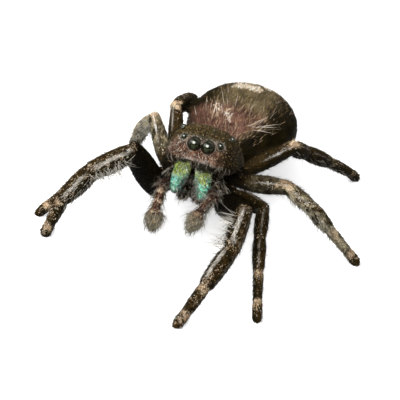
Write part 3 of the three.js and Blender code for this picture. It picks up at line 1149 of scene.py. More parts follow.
    def colours(self, spots: Spots) -> np.ndarray:
        """The coat's plain colour.

        Args:
            spots: points anywhere on the skin.

        Returns:
            The colour at each point.
        """
        colour = np.repeat((DARK * 0.7)[None], len(spots), 0)
        for kinds, method in (((Kind.HEAD,), self.head), ((Kind.ABDOMEN,), self.abdomen),
                              ((Kind.ARM, Kind.HAND), self.palp), (SEGMENTS, self.leg)):
            colour = np.where(spots.of(*kinds)[:, None] > 0, method(spots), colour)
        return np.clip(colour, 0.001, 1)


# ---------------------------------------------------------------- the skin

@dataclass
class Skin:
    """One hide over all the flesh. Sizes are in millimetres."""

    anatomy: Anatomy
    markings: Markings
    voxel: float = 0.08
    swell: float = 0.035
    socket: float = 0.05
    rounds: int = 7
    depth_rounds: int = 2
    floor_reach: float = 0.25
    floor_depth: float = 0.3
    lowest: float = 0.012
    shade: float = 0.7
    points: np.ndarray = field(default=None, init=False)
    faces: np.ndarray = field(default=None, init=False)
    spots: Spots = field(default=None, init=False)

    def shape(self) -> None:
        """Joins the swollen solids, evens them out and draws them in by the coat's depth."""
        sockets = [name for name in frame["nodes"] if name.startswith("eye_")]
        swollen = []
        for name in [*self.anatomy.solids, *sockets]:
            solid, triangles = self.anatomy.solids.get(name) or welded(name)
            swell = -self.socket if name in sockets else self.swell
            swollen.append((solid + point_normals(solid, triangles) * swell, triangles))
        surface, self.faces = remeshed(*joined(swollen), self.voxel)
        surface = spread(surface, self.faces, self.rounds)
        normals = point_normals(surface, self.faces)
        tree, owners = self.anatomy.nearest()
        owner = np.array([owners[tree.find_nearest(p)[2]] for p in surface.tolist()])
        depths = np.array([DEPTH[p.kind] for p in self.anatomy.pieces])[owner]
        depths = spread(depths[:, None], self.faces, self.depth_rounds)[:, 0]
        near_floor = ramp(surface[:, 2], 0.0, self.floor_reach) * (1 - self.floor_depth) + self.floor_depth
        self.points = surface - normals * (depths * near_floor + self.swell)[:, None]
        self.points[:, 2] = np.maximum(self.points[:, 2], self.lowest)
        self.spots = self.anatomy.spots(self.points, point_normals(self.points, self.faces), owner)

    def dress(self) -> None:
        """Colours the hide and gives it its material."""
        colours = self.markings.colours(self.spots) * self.shade
        hide = Cloth(self.points, self.faces, colours).build("hide", SkinFinish().material())
        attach(hide, "root")
        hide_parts(*self.anatomy.solids)
        LOG.info("hide: %d triangles", len(self.faces))


# ---------------------------------------------------------------- the coat

@dataclass(frozen=True)
class Strand:
    """The form of one kind of hair, in millimetres and degrees."""

    length: float
    width: float
    lift: float
    bend: float = 0.0
    stray: float = 14.0
    uneven: float = 0.25
    steps: int = 2
    vary: float = 0.3
    roll: float = 0.1
    leaf: bool = False

    def fullness(self, t: float) -> float:
        """How wide the hair is at a share of its length: a leaf's swell, or a hair's taper."""
        return max(math.sin(math.pi * t) if self.leaf else 1 - t ** 1.7, 0.25)


@dataclass(frozen=True)
class Layer:
    """One layer of hairs: the seeds are for places, colours and forms; density is to a square millimetre."""

    name: str
    slot: str
    strand: Strand
    seeds: tuple[int, int, int]
    density: float = 1.0


def speck_layer(name: str, slot: str, size: float, places: int, colours: int) -> Layer:
    """A layer of tiny bright scales that lie nearly flat.

    Args:
        name: its pieces' name.
        slot: the record's material slot.
        size: the scales' size, as a share of the usual.
        places: the seed of their places.
        colours: the seed of their colours; the next one is that of their forms.

    Returns:
        The layer.
    """
    scale = Strand(length=0.085 * size, width=0.042 * size, lift=22, stray=20, vary=0.25, leaf=True)
    return Layer(name, slot, scale, (places, colours, colours + 1))


def woven(sizes: list[int], count: int) -> np.ndarray:
    """The triangles of many like hairs.

    Args:
        sizes: how many points each ring of a hair has, from root to tip: one or two.
        count: how many hairs there are.

    Returns:
        The triangles, hair after hair.
    """
    starts = np.concatenate([[0], np.cumsum(sizes)])
    pattern = []
    for a, b, size, next_size in zip(starts, starts[1:], sizes, sizes[1:]):
        if size == 2:
            pattern.append([a, a + 1, b + 1 if next_size == 2 else b])
        if next_size == 2:
            pattern.append([a, b + 1, b])
    return (np.array(pattern)[None] + (np.arange(count) * starts[-1])[:, None, None]).reshape(-1, 3)


@dataclass
class Grower:
    """Scatters hairs over the skin and makes their meshes. Sizes are in millimetres, or shares of the map."""

    skin: Skin
    sink: float = 0.01
    lowest: float = 0.005
    patch: float = 0.0015
    margin: tuple[float, float] = (0.04, 0.02)

    @property
    def known(self) -> Spots:
        """The skin's own points."""
        return self.skin.spots

    @property
    def head(self) -> HeadFrame:
        """The head's frame."""
        return self.skin.anatomy.head

    def scatter(self, layer: Layer, thickness: np.ndarray) -> Spots:
        """Random roots on the skin.

        Args:
            layer: the layer that grows on them.
            thickness: how thickly they lie at each point of the skin, as a share of the layer's density.

        Returns:
            The roots.
        """
        known, faces = self.known, self.skin.faces
        density = (thickness * layer.density)[faces].mean(1)
        corners, place, normal = sprinkled(self.skin.points, known.normal, faces, density,
                                           np.random.default_rng(layer.seeds[0]))
        return self.skin.anatomy.spots(place, normal, known.piece[corners[:, 0]])

    def lie(self, spots: Spots) -> np.ndarray:
        """The way the coat lies: along a leg, back over the head, down the face and outward under the body.

        Args:
            spots: the roots.

        Returns:
            A direction along the skin for each.
        """
        x, _, z = spots.head.T
        down = ramp(-spots.facing[:, 1], 0.2, 0.6) * ramp(z, 0.95, 0.6)
        local = np.stack([0.25 * np.sign(x), 1 - 1.1 * down, -0.25 - 1.2 * down], axis=1)
        way = np.where(spots.of(Kind.HEAD)[:, None] > 0, local @ self.head.axes.T, spots.way)
        outward = spots.place - self.head.outside(np.array([[0, 0.1, -0.6]]))
        way = np.where(spots.of(Kind.BREAST)[:, None] > 0, outward, way)
        return flattened(way, spots.normal)

    def chart(self, spots: Spots) -> np.ndarray:
        """Each root's place on the unwrapped skin: round a piece across, along it upwards, a strip for each.

        Args:
            spots: the roots.

        Returns:
            Two numbers for each, from 0 to 1.
        """
        aside, end = self.margin
        turn = spots.round / (2 * math.pi) + 0.5
        names, strip = np.unique(spots.piece, return_inverse=True)
        across = (strip + aside + (1 - 2 * aside) * turn) / len(names)
        return np.stack([across, end + (1 - 2 * end) * np.clip(spots.along, 0, 1)], axis=1)

    def hairs(self, spots: Spots, strand: Strand, tones: tuple[np.ndarray, np.ndarray], seed: int,
              lie: np.ndarray | None) -> Cloth:
        """Hairs on their roots.

        Args:
            spots: the roots.
            strand: the hairs' form.
            tones: the colours at the roots and at the tips.
            seed: which random choice.
            lie: the way they lie, where it isn't the coat's own.

        Returns:
            The hairs as one mesh.
        """
        rng = np.random.default_rng(seed)
        count, steps = len(spots), strand.steps
        normal = spots.normal
        way = self.lie(spots) if lie is None else lie
        turn = np.radians(rng.normal(0, strand.stray, count))[:, None]
        way = unit(way * np.cos(turn) + np.cross(normal, way) * np.sin(turn))
        aside = np.cross(normal, way)
        roll = rng.normal(0, strand.roll, (count, 1))
        length = strand.length * np.exp(rng.normal(0, strand.vary, count))[:, None]
        lift = np.radians(strand.lift * (1 + rng.normal(0, strand.uneven, count)))[:, None]
        centre = spots.place - normal * self.sink
        chart = self.chart(spots)
        root, tip = tones
        rings = []
        for k in range(steps + 1):
            t = k / steps
            angle = lift - math.radians(strand.bend) * t
            heading = np.cos(angle) * way + np.sin(angle) * normal
            if k:
                centre = centre + heading * length / steps
            flank = aside * np.cos(roll) + np.cross(heading, aside) * np.sin(roll)
            half = flank * strand.width * 0.5 * strand.fullness(t)
            shade = root + (tip - root) * t
            pointed = k == steps or (strand.leaf and k == 0)
            edges = [np.concatenate([centre + half * s, shade, chart + self.patch * np.array([s, 2 * t])], 1)
                     for s in ((0,) if pointed else (-1, 1))]
            rings.append(np.stack(edges, axis=1))
        rows = np.concatenate(rings, axis=1).reshape(-1, 8)
        points, colours, places = rows[:, :3], rows[:, 3:6], rows[:, 6:]
        points[:, 2] = np.maximum(points[:, 2], self.lowest)
        return Cloth(points, woven([ring.shape[1] for ring in rings], count), colours, places)

    def grow(self, layer: Layer, roots: Spots, tones: tuple[np.ndarray, np.ndarray],
             material: bpy.types.Material, lie: np.ndarray | None = None) -> None:
        """Builds a layer's pieces, each small enough, and ties them to the body.

        Args:
            layer: the layer; its pieces are numbered if there is more than one.
            roots: where its hairs grow.
            tones: the colours at the roots and at the tips.
            material: its material.
            lie: the way the hairs lie, where it isn't the coat's own.
        """
        cloth = self.hairs(roots, layer.strand, tones, layer.seeds[2], lie)
        parts = math.ceil(len(cloth.triangles) / TRIANGLE_LIMIT)
        for i, share in enumerate(np.array_split(cloth.triangles, parts)):
            used, triangles = np.unique(share, return_inverse=True)
            name = layer.name if parts == 1 else f"{layer.name}_{i + 1}"
            thing = Cloth(cloth.points[used], triangles.reshape(-1, 3), cloth.colours[used],
                          cloth.places[used]).build(name, material)
            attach(thing, "root")
            layer.slot
        LOG.info("%s: %d triangles", layer.name, len(cloth.triangles))


@dataclass
class Coat(Grower):
    """What the coat of every part of the body needs."""

    @property
    def markings(self) -> Markings:
        """The coat's colours."""
        return self.skin.markings

    def tones(self, layer: Layer, roots: Spots, vary: float, gold: np.ndarray | float = 0.0,
              pale: np.ndarray | float = 0.0) -> tuple[np.ndarray, np.ndarray]:
        """Colours of hairs: the markings, each hair a little its own, with gold and pale ones among them.

        Args:
            layer: their layer.
            roots: the roots.
            vary: how much the hairs differ in lightness.
            gold: the share of gold hairs at each root.
            pale: the share of cream ones.

        Returns:
            The colours at roots and tips.
        """
        rng = np.random.default_rng(layer.seeds[1])
        count = len(roots)
        colour = self.markings.colours(roots) * np.exp(rng.normal(0, vary, count))[:, None]
        colour = blend(colour, GOLD, (rng.random(count) < gold) * 0.9)
        colour = blend(colour, CREAM, (rng.random(count) < pale) * 0.9)
        return np.clip(colour * 0.5, 0, 1), np.clip(colour * 1.3, 0, 1)

    def between(self, layer: Layer, roots: Spots, low: np.ndarray, high: np.ndarray) -> np.ndarray:
        """A colour for each root, anywhere between two."""
        return blend(low, high, np.random.default_rng(layer.seeds[1]).random(len(roots)))

    def specks(self, layer: Layer, roots: Spots, low: np.ndarray = SAND, high: np.ndarray = IVORY) -> None:
        """Grows a layer of bright scales.

        Args:
            layer: the layer.
            roots: where they grow.
            low: their deepest colour.
            high: their palest colour.
        """
        rng = np.random.default_rng(layer.seeds[1])
        tone = blend(low, high, rng.random(len(roots)))
        tone = np.clip(tone * rng.uniform(0.4, 1.6, (len(roots), 1)), 0, 1)
        finish = HairFinish(f"{layer.name} gold", roughness=0.35, specular=0.4)
        self.grow(layer, roots, (tone * 0.8, tone), finish.material())

    def outside_lenses(self, roots: Spots, near: float = 0.03, far: float = 99.0) -> Spots:
        """The roots that lie between two distances from the nearest lens, in millimetres."""
        gap = self.markings.lens_gap(roots)
        return roots.only((gap > near) & (gap < far))

    def round_body(self, roots: Spots) -> np.ndarray:
        """The way round each root's piece, from its top towards its underside."""
        backs = np.array([piece.above for piece in self.skin.anatomy.pieces])[roots.piece]
        around = np.cross(roots.way, roots.normal)
        return unit(-around * np.sign((around * backs).sum(1, keepdims=True)))

    def downward(self, roots: Spots) -> np.ndarray:
        """The way down and a little forward along the skin, at each root."""
        return flattened(self.head.axes @ np.array([0.0, -0.5, -1.0]), roots.normal)


@dataclass
class HeadCoat(Coat):
    """Flat scales over the head, gold specks on top, pale hairs on the face, and rings round the lenses."""

    scales: Layer = Layer("coat_head", "carapace",
                          Strand(length=0.08, width=0.027, lift=18, stray=35, leaf=True), (21, 22, 23), 2300)
    gold: Layer = speck_layer("head_specks", "carapace", 0.5, 25, 26)
    pale: Layer = Layer("face_hairs", "carapace",
                        Strand(length=0.12, width=0.016, lift=26, bend=14, stray=40), (27, 28, 29))
    rings: Layer = Layer("eye_rings", "carapace",
                         Strand(length=0.055, width=0.026, lift=66, bend=10, stray=25), (81, 84, 82), 3000)

    def build(self) -> None:
        """Grows the scales, the specks and the pale hairs."""
        known = self.known
        here = known.of(Kind.HEAD) * ramp(self.markings.lens_gap(known), 0.02, 0.05)
        material = HairFinish("head scales").material()
        roots = self.outside_lenses(self.scatter(self.scales, here))
        face = self.markings.face(roots)
        tones = self.tones(self.scales, roots, 0.75, 0.05 * (1 - face), 0.03 * face)
        self.grow(self.scales, roots, tones, material)
        clumps = ramp(Mottle.HEAD_SPECKS.at(known.place), -0.6, 0.5)
        above = ramp(known.facing[:, 2], 0.1, 0.6)
        cheek = ramp(known.head[:, 0], 0.55, 0.85) * self.markings.face(known)
        thickness = here * clumps * (14 + 330 * above + 200 * cheek)
        roots = self.outside_lenses(self.scatter(self.gold, thickness))
        self.specks(self.gold, roots, GOLD * 0.8, CREAM * 0.8)
        thickness = here * (8 + 1400 * self.markings.pale_face(known))
        roots = self.outside_lenses(self.scatter(self.pale, thickness))
        tone = self.between(self.pale, roots, (ROSE + SILVER) * 0.6, WHITE * 1.15)
        self.grow(self.pale, roots, (tone * 0.7, tone), material)
        self.ring_lenses()

    def ring_lenses(self) -> None:
        """Grows a thin ring of short hairs round each lens, pale on the four lenses in front."""
        near = self.known.of(Kind.HEAD) * ramp(self.markings.lens_gap(self.known), 0.25, 0.2)
        roots = self.outside_lenses(self.scatter(self.rings, near), 0.035, 0.06)
        centres = np.array([eye.centre for eye in self.markings.eyes])
        reach = np.linalg.norm(roots.place[:, None] - centres[None], axis=2)
        nearest = (reach - np.array([eye.radius for eye in self.markings.eyes])).argmin(1)
        outward = flattened(roots.place - centres[nearest], roots.normal)
        pale = self.between(self.rings, roots, GREY, SILVER * 1.25)
        tone = np.where((nearest < 4)[:, None], pale, BROWN)
        self.grow(self.rings, roots, (tone * 0.8, tone), HairFinish("eye ring hair").material(), outward)


@dataclass
class AbdomenCoat(Coat):
    """The abdomen's deeper pile and its guard hairs, in rows and tufts in front and on the flanks."""

    pile: Layer = Layer("coat_abdomen", "abdomen",
                        Strand(length=0.24, width=0.023, lift=20, bend=12, stray=17), (31, 32, 33), 900)
    guard: Layer = Layer("guard_hairs", "abdomen",
                         Strand(length=0.5, width=0.02, lift=52, bend=24, steps=4, roll=0.8, stray=16),
                         (34, 38, 35))
    pale: Layer = speck_layer("abdomen_specks", "abdomen", 1.9, 98, 99)
    tufts: Layer = Layer("abdomen_tufts", "abdomen",
                         Strand(length=0.75, width=0.03, lift=22, bend=8, steps=3, roll=0.5, stray=24,
                                vary=0.45), (39, 40, 41))
    fine: Layer = Layer("abdomen_hairs", "abdomen",
                        Strand(length=0.36, width=0.014, lift=30, bend=16, steps=3, roll=0.8), (36, 0, 37))

    def build(self) -> None:
        """Grows the pile and every kind of hair that stands out of it."""
        known = self.known
        here = known.of(Kind.ABDOMEN)
        roots = self.scatter(self.pile, here)
        light = ramp(roots.top, 0.3, 0.7)
        cream = (0.02 + 0.04 * ramp(roots.along, 0.45, 0.3)) * light
        self.grow(self.pile, roots, self.tones(self.pile, roots, 0.5, 0.03 * light, cream),
                  HairFinish("abdomen pile").material())
        t, turn = known.along, known.round
        row = band(t, 0.36, 0.05, 0.06) * band(turn, -0.5, 0.85, 0.25)
        flank = band(t, 0.5, 0.2, 0.12) * band(np.abs(turn), 0.85, 0.22, 0.2)
        material = HairFinish("guard hairs").material()
        roots = self.scatter(self.guard, here * (6 * row + 1.5 * flank + 0.5))
        tone = self.between(self.guard, roots, SAND, WHITE)
        self.grow(self.guard, roots, (tone * 0.7, tone), material)
        patch = band(t + 0.18 * (turn + 0.45), 0.3, 0.022, 0.03) * band(turn, -0.47, 0.3, 0.1)
        clumps = ramp(Mottle.ABDOMEN_SPECKS.at(known.place), -0.3, 0.5)
        spots = self.markings.abdomen_spots(known)
        self.specks(self.pale, self.scatter(self.pale, here * (260 * patch * clumps + 600 * spots)),
                    CREAM, WHITE * 1.1)
        shoulders = band(t, 0.28, 0.035, 0.04) * band(np.abs(turn), 0.72, 0.1, 0.12)
        roots = self.scatter(self.tufts, here * (8 * patch * clumps + 30 * shoulders))
        tone = self.between(self.tufts, roots, CREAM, WHITE)
        outward = self.lie(roots) + self.round_body(roots) * (0.8 * ramp(roots.front, 0.2, 0.6))[:, None]
        self.grow(self.tufts, roots, (tone * 0.8, tone), material, unit(outward))
        roots = self.scatter(self.fine, here * (14 + 40 * ramp(t, 0.45, 0.3) * ramp(known.top, 0.2, 0.6)))
        tone = blend(ROSE * 0.8, DARK, ramp(roots.top, 0.75, 0.45))
        self.grow(self.fine, roots, (tone * 0.6, tone), material)


@dataclass
class LegCoat(Coat):
    """Flat scales, gold specks and short hairs along the legs, and long pale hairs under them."""

    scale: Strand = Strand(length=0.14, width=0.028, lift=15, stray=16, leaf=True)
    gold: Layer = speck_layer("leg_specks", "leg", 0.9, 50, 53)
    fine: Layer = Layer("leg_hairs", "leg",
                        Strand(length=0.24, width=0.016, lift=36, bend=16, steps=3, roll=0.8),
                        (47, 56, 48), 60)
    fringe: Layer = Layer("fringes", "leg",
                          Strand(length=0.4, width=0.02, lift=46, bend=26, steps=4, roll=0.8, stray=20),
                          (51, 54, 52))
    fans: tuple[tuple[str, int, float, float, float, int], ...] = (
        ("left", 1, 1.45, 58, 0.22, 58), ("right", -1, 1.35, 26, 0.3, 85))

    def build(self) -> None:
        """Grows every layer of the legs."""
        known = self.known
        legs = known.of(*SEGMENTS)
        black = known.of(Kind.FEMUR) * known.leg(1)
        material = HairFinish("leg scales").material()
        for side_name, side in SIDES:
            seeds = (41 + side, 43 + side, 45 + side)
            scales = Layer(f"coat_legs_{side_name}", "leg", self.scale, seeds, 700)
            roots = self.scatter(scales, legs * (known.side == side))
            cream = 0.35 * self.markings.joint_patches(roots)
            self.grow(scales, roots, self.tones(scales, roots, 0.5, 0.0, cream), material)
        self.specks(self.gold, self.scatter(self.gold, legs * self.gold_density(black)))
        roots = self.scatter(self.fine, legs * (1 - 0.3 * black))
        chance = np.random.default_rng(self.fine.seeds[1]).random(len(roots))
        lone = (chance < 0.35 * ramp(roots.top, 0.1, -0.4)) * (1 - roots.of(Kind.FEMUR) * roots.leg(1))
        tone = blend(self.markings.colours(roots), SILVER, lone * 0.9)
        self.grow(self.fine, roots, (tone * 0.7, tone), material)
        self.hang_fringes()

    def gold_density(self, black: np.ndarray) -> np.ndarray:
        """How thickly the gold specks lie: most at the joints and the feet, least on the first femora.

        Args:
            black: 1 on the first femora and 0 elsewhere.

        Returns:
            Specks for each square millimetre at each point of the skin.
        """
        known = self.known
        t, long_ones = known.along, known.of(Kind.TIBIA, Kind.PATELLA)
        dorsal = ramp(known.top, 0.25, 0.7)
        ends = long_ones * (ramp(t, 0.72, 0.92) + ramp(t, 0.25, 0.05))
        feet = known.of(Kind.METATARSUS, Kind.TARSUS) * ramp(known.top, -0.4, 0.3) * ramp(t, 0.95, 0.5)
        front = long_ones * ramp(known.front, 0.4, 0.8) * ramp(known.top, -0.5, 0.0)
        amount = 230 * dorsal + 520 * ends * dorsal + 560 * feet + 260 * front
        amount = amount * ramp(Mottle.LEG_SPECKS.at(known.place), -0.7, 0.7)
        rich = np.where(known.leg(1), 1.0, np.where(known.leg(3), 0.8, 0.35))
        rich = np.where(known.leg(4, 1), 0.12, rich)
        amount = amount * rich * (1 - self.markings.stripe(known))
        return (amount + 430 * self.markings.joint_patches(known)) * (1 - 0.97 * black)

    def hang_fringes(self) -> None:
        """Grows long pale hairs on the fronts and undersides of the legs, longest on the first patellae."""
        known, turn = self.known, self.known.round
        material = HairFinish("pale fringes", roughness=0.4).material()
        for side_name, side, middle, lift, start, seed in self.fans:
            hair = Strand(length=0.7, width=0.028, lift=lift, bend=38, steps=5, roll=0.8, stray=22, vary=0.35)
            fan = Layer(f"fan_{side_name}", "leg", hair, (seed, seed + 1, seed + 2), 125)
            around = band(turn, middle, 0.3, 0.3) * known.leg(1, side)
            spread_out = known.of(Kind.PATELLA) * around * ramp(known.along, start, start + 0.2)
            spread_out = spread_out + known.of(Kind.TIBIA) * around * ramp(known.along, 0.5, 0.2) * 0.35
            roots = self.scatter(fan, spread_out)
            tone = self.between(fan, roots, SILVER * 0.9, WHITE)
            self.grow(fan, roots, (tone * 0.9, tone * 0.62), material, self.round_body(roots))
        third = known.leg(3)
        where = known.of(Kind.PATELLA, Kind.TIBIA) * np.where(known.leg(1), 40, np.where(third, 80, 12))
        where = where + known.of(Kind.FEMUR) * third * 24 * ramp(known.along, 0.3, 0.6)
        where = where + known.of(Kind.METATARSUS) * np.where(third, 20, 9)
        roots = self.scatter(self.fringe, where * (ramp(turn, 0.9, 1.5) + ramp(turn, -1.9, -2.5)))
        tone = self.between(self.fringe, roots, GREY * 1.2, WHITE)
        self.grow(self.fringe, roots, (tone * 0.6, tone), material)


@dataclass
class PalpCoat(Coat):
    """The palps' fur, the brushes on their hands, and long curved hairs."""

    fur: Layer = Layer("coat_palps", "palp",
                       Strand(length=0.13, width=0.022, lift=18, stray=22), (61, 62, 63), 700)
    gold: Layer = speck_layer("palp_specks", "palp", 1.0, 66, 67)
    brush: Layer = Layer("palp_brush", "palp",
                         Strand(length=0.3, width=0.014, lift=38, bend=16, steps=3, roll=0.8, stray=20),
                         (64, 68, 65), 320)
    curved: Layer = Layer("palp_fringes", "palp",
                          Strand(length=0.5, width=0.022, lift=60, bend=80, steps=5, roll=0.8, stray=26),
                          (69, 70, 72))

    def build(self) -> None:
        """Grows every layer of the palps."""
        known = self.known
        palps = known.of(Kind.ARM, Kind.HAND)
        material = HairFinish("palp hair").material()
        roots = self.scatter(self.fur, palps)
        self.grow(self.fur, roots, self.tones(self.fur, roots, 0.6, 0.04, 0.03), material)
        self.specks(self.gold, self.scatter(self.gold, palps * (14 + 420 * self.markings.palp_joints(known))))
        bushy = known.of(Kind.HAND) * ramp(known.along, 0.0, 0.25)
        roots = self.scatter(self.brush, bushy)
        tone = self.between(self.brush, roots, GREY * 1.1, pigment("dcd2be"))
        self.grow(self.brush, roots, (tone * 0.35, tone), material)
        arm = known.of(Kind.ARM) * 210 * ramp(known.along, 0.3, 0.5)
        roots = self.scatter(self.curved, (arm + bushy * 110) * ramp(np.abs(known.front), 0.5, 0.85))
        tone = self.between(self.curved, roots, GREY * 0.8, SILVER)
        self.grow(self.curved, roots, (tone * 0.6, tone), material)


@dataclass
class UndersideCoat(Coat):
    """Sparse hair under the body, grey curly hair round the mouth, and a dark brim over the jaws."""

    sparse: Layer = Layer("coat_breast", "underside",
                          Strand(length=0.2, width=0.028, lift=20), (71, 74, 73), 260)
    beard: Layer = Layer("beard", "underside",
                         Strand(length=0.3, width=0.018, lift=34, bend=50, steps=4, roll=0.8, stray=40),
                         (75, 77, 76), 240)
    brim: Layer = Layer("brim", "carapace",
                        Strand(length=0.34, width=0.02, lift=58, bend=62, steps=4, roll=0.8, stray=26),
                        (78, 79, 83), 420)
    brim_silver: int = 80

    def build(self) -> None:
        """Grows the three layers."""
        known = self.known
        roots = self.scatter(self.sparse, known.of(Kind.BREAST, Kind.SPINNERETS))
        self.grow(self.sparse, roots, self.tones(self.sparse, roots, 0.45, 0.02, 0.02),
                  HairFinish("underside hair").material())
        _, y, z = known.head.T
        material = HairFinish("beard hair").material()
        roots = self.scatter(self.beard, known.of(Kind.BREAST) * ramp(y, -0.9, -1.3))
        # Painted light: the beard runs up to a silver paler than its own grey, so that it shows in the shaded
        # gap between the jaws.
        tone = self.between(self.beard, roots, GREY * 0.9, SILVER * 1.7)
        self.grow(self.beard, roots, (tone * 0.7, tone), material, self.downward(roots))
        rim = known.of(Kind.HEAD) * ramp(y, -1.7, -2.1) * ramp(z, 0.1, 0.02) * ramp(z, -0.5, -0.3)
        roots = self.scatter(self.brim, rim)
        chance = np.random.default_rng(self.brim_silver).random(len(roots))
        tone = blend(self.between(self.brim, roots, INK, BROWN), SILVER, (chance < 0.2) * 0.9)
        self.grow(self.brim, roots, (tone * 0.6, tone), material, self.downward(roots))


# ---------------------------------------------------------------- eyes and jaws

@dataclass
class Eyes:
    """The eight lenses, smooth and black."""

    eyes: list[Eye]
    around: int = 48

    def build(self) -> None:
        """Makes each lens in place of its solid."""
        material = LensFinish().material()
        for eye in self.eyes:
            bpy.ops.mesh.primitive_uv_sphere_add(segments=self.around, ring_count=self.around // 2, radius=1)
            lens = bpy.context.object
            lens.name = f"lens_{eye.name}"
            place = Matrix.Translation(Vector(eye.centre * MM))
            lens.data.transform(place @ Matrix.Scale(eye.radius * MM, 4))
            lens.data.shade_smooth()
            lens.data.materials.append(material)
            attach(lens, "root")
            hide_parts(f"eye_{eye.name}")
        LOG.info("eyes: %d lenses", len(self.eyes))


@dataclass(kw_only=True)
class Jaw(Grower):
    """One shining chelicera with its fang, its scales and its hairs. Sizes are in millimetres."""

    side_name: str
    side: int
    seed: int
    crown: float
    depth: float = 0.015
    voxel: float = 0.05
    rounds: int = 8
    shade: float = 0.5
    foot: float = -1.75
    crest: float = -0.05
    density: float = 2400.0
    scale: Strand = Strand(length=0.08, width=0.042, lift=16, stray=30, uneven=0.9, roll=0.5, leaf=True)
    hair: Strand = Strand(length=0.24, width=0.018, lift=40, bend=50, steps=3, stray=35, roll=0.8)

    def __post_init__(self) -> None:
        """Starts the jaw's own source of chance."""
        self.rng = np.random.default_rng(self.seed)

    def height(self, points: np.ndarray) -> np.ndarray:
        """0 at the jaw's foot and 1 at its top."""
        return (self.head.inside(points)[:, 2] - self.foot) / (self.crest - self.foot)

    def colours(self, points: np.ndarray, vary: float) -> np.ndarray:
        """Yellow-green above, blue-green below, dark over the crown for the head's hair and as painted shade
        under its rim, each scale a little its own.

        Args:
            points: where the scales are.
            vary: how much they differ.

        Returns:
            The colours.
        """
        level = self.height(points) + 0.06 * Mottle.JAW.at(points)
        colour = blend(pigment("1b5047"), pigment("6ce2b4"), ramp(level, 0.05, 0.3))
        colour = blend(colour, pigment("63a866"), ramp(level, 0.5, 0.62))
        colour = blend(colour, pigment("9bac45"), ramp(level, 0.58, 0.72))
        # Painted shade, with the dark of the head's hair: near black over the crown, under the head's rim.
        colour = blend(colour, pigment("1c1d0b"), ramp(level, self.crown - 0.08, self.crown + 0.06))
        return np.clip(colour * np.exp(self.rng.normal(0, vary, len(points)))[:, None], 0, 1)

    def build(self, hide: bpy.types.Material, scales: bpy.types.Material, hairs: bpy.types.Material) -> None:
        """Makes the jaw in place of its solid, and grows its scales and hairs.

        Args:
            hide: the material under the scales.
            scales: the scales' material.
            hairs: the hairs' material.
        """
        node = f"chelicera_{self.side_name}"
        points, faces = remeshed(*welded(node), self.voxel)
        points = spread(points, faces, self.rounds)
        points = points - point_normals(points, faces) * self.depth
        colours = self.colours(points, 0.0) * self.shade
        jaw = Cloth(points, faces, colours).build(f"jaw_{self.side_name}", hide)
        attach(jaw, "root")
        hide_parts(node)
        _, place, normal = sprinkled(points, point_normals(points, faces), faces,
                                     np.full(len(faces), self.density), self.rng)
        owners = [piece.kind for piece in self.skin.anatomy.pieces]
        roots = self.skin.anatomy.spots(place, normal, np.full(len(place), owners.index(Kind.HEAD)))
        lie = flattened(self.head.axes @ np.array([0.0, -0.2, -1.0]), normal)
        roots.along = self.height(place)
        self.grow_scales(roots, lie, scales)
        self.grow_hairs(roots, lie, hairs)

    def grow_scales(self, roots: Spots, lie: np.ndarray, material: bpy.types.Material) -> None:
        """Grows the shining scales: some turned near white as painted glints, and painted shade making them
        darker towards the jaw's foot and its side towards the other jaw.

        Args:
            roots: where they grow.
            lie: the way they lie.
            material: their material.
        """
        height = roots.along
        tone = self.colours(roots.place, 1.0)
        # Painted glints: about a third of the scales below the crown go near white.
        bright = (self.rng.random(len(roots)) < 0.34) * 0.9 * (height < self.crown)
        tone = blend(tone, pigment("e4f8dc"), bright)
        # Painted shade: darker on the side towards the other jaw, low down, and at the foot.
        painted_inner_shade = ramp(-roots.facing[:, 0] * self.side, 0.0, 0.6) * ramp(height, 0.75, 0.45)
        tone = tone * (1 - 0.7 * np.maximum(painted_inner_shade, ramp(height, 0.22, 0.08)))[:, None]
        layer = Layer(f"jaw_scales_{self.side_name}", "chelicera", self.scale, (0, 0, self.seed + 1))
        self.grow(layer, roots, (tone * 0.8, tone), material, lie)

    def grow_hairs(self, roots: Spots, lie: np.ndarray, material: bpy.types.Material) -> None:
        """Grows dark and silver hairs over the crown and between the jaws.

        Args:
            roots: the scales' roots, a few of which are chosen.
            lie: the way they lie.
            material: their material.
        """
        height = roots.along
        inward = (roots.facing[:, 0] * self.side < -0.45) & (height < 0.6) & (height > 0.1)
        chosen = ((height > self.crown - 0.03) | inward) & (self.rng.random(len(roots)) < 0.12)
        roots, lie, inward = roots.only(chosen), lie[chosen], inward[chosen]
        share = np.where(inward, self.rng.random(len(roots)), self.rng.random(len(roots)) ** 4)
        tone = blend(DARK, SILVER * 1.2, share)
        layer = Layer(f"jaw_crown_{self.side_name}", "chelicera", self.hair, (0, 0, self.seed + 2))
        self.grow(layer, roots, (tone * 0.6, tone), material, lie)


def build_jaws(skin: Skin) -> None:
    """Makes both jaws with the same materials; the left one's crown comes a little lower.

    Args:
        skin: the skin that they hang under.
    """
    materials = (JawFinish("jaw hide", metallic=0.4).material(), JawFinish("jaw scales").material(),
                 HairFinish("jaw hair").material())
    for (side_name, side), seed, crown in zip(SIDES, (101, 111), (0.83, 0.93)):
        Jaw(skin, side_name=side_name, side=side, seed=seed, crown=crown).build(*materials)


# ---------------------------------------------------------------- the studio

@dataclass(frozen=True)
class Lamp:
    """An area lamp that points at the animal: its place and width in millimetres, its power in watts."""

    name: str
    at: tuple[float, float, float]
    width: float
    power: float

    def build(self, aim: tuple[float, float, float]) -> None:
        """Makes the lamp.

        Args:
            aim: where it points, in millimetres.
        """
        data = bpy.data.lights.new(self.name, "AREA")
        data.energy, data.size = self.power, self.width * MM
        lamp = shown(self.name, data)
        lamp.location = Vector(self.at) * MM
        lamp.rotation_euler = ((Vector(aim) - Vector(self.at)) * MM).to_track_quat("-Z", "Y").to_euler()


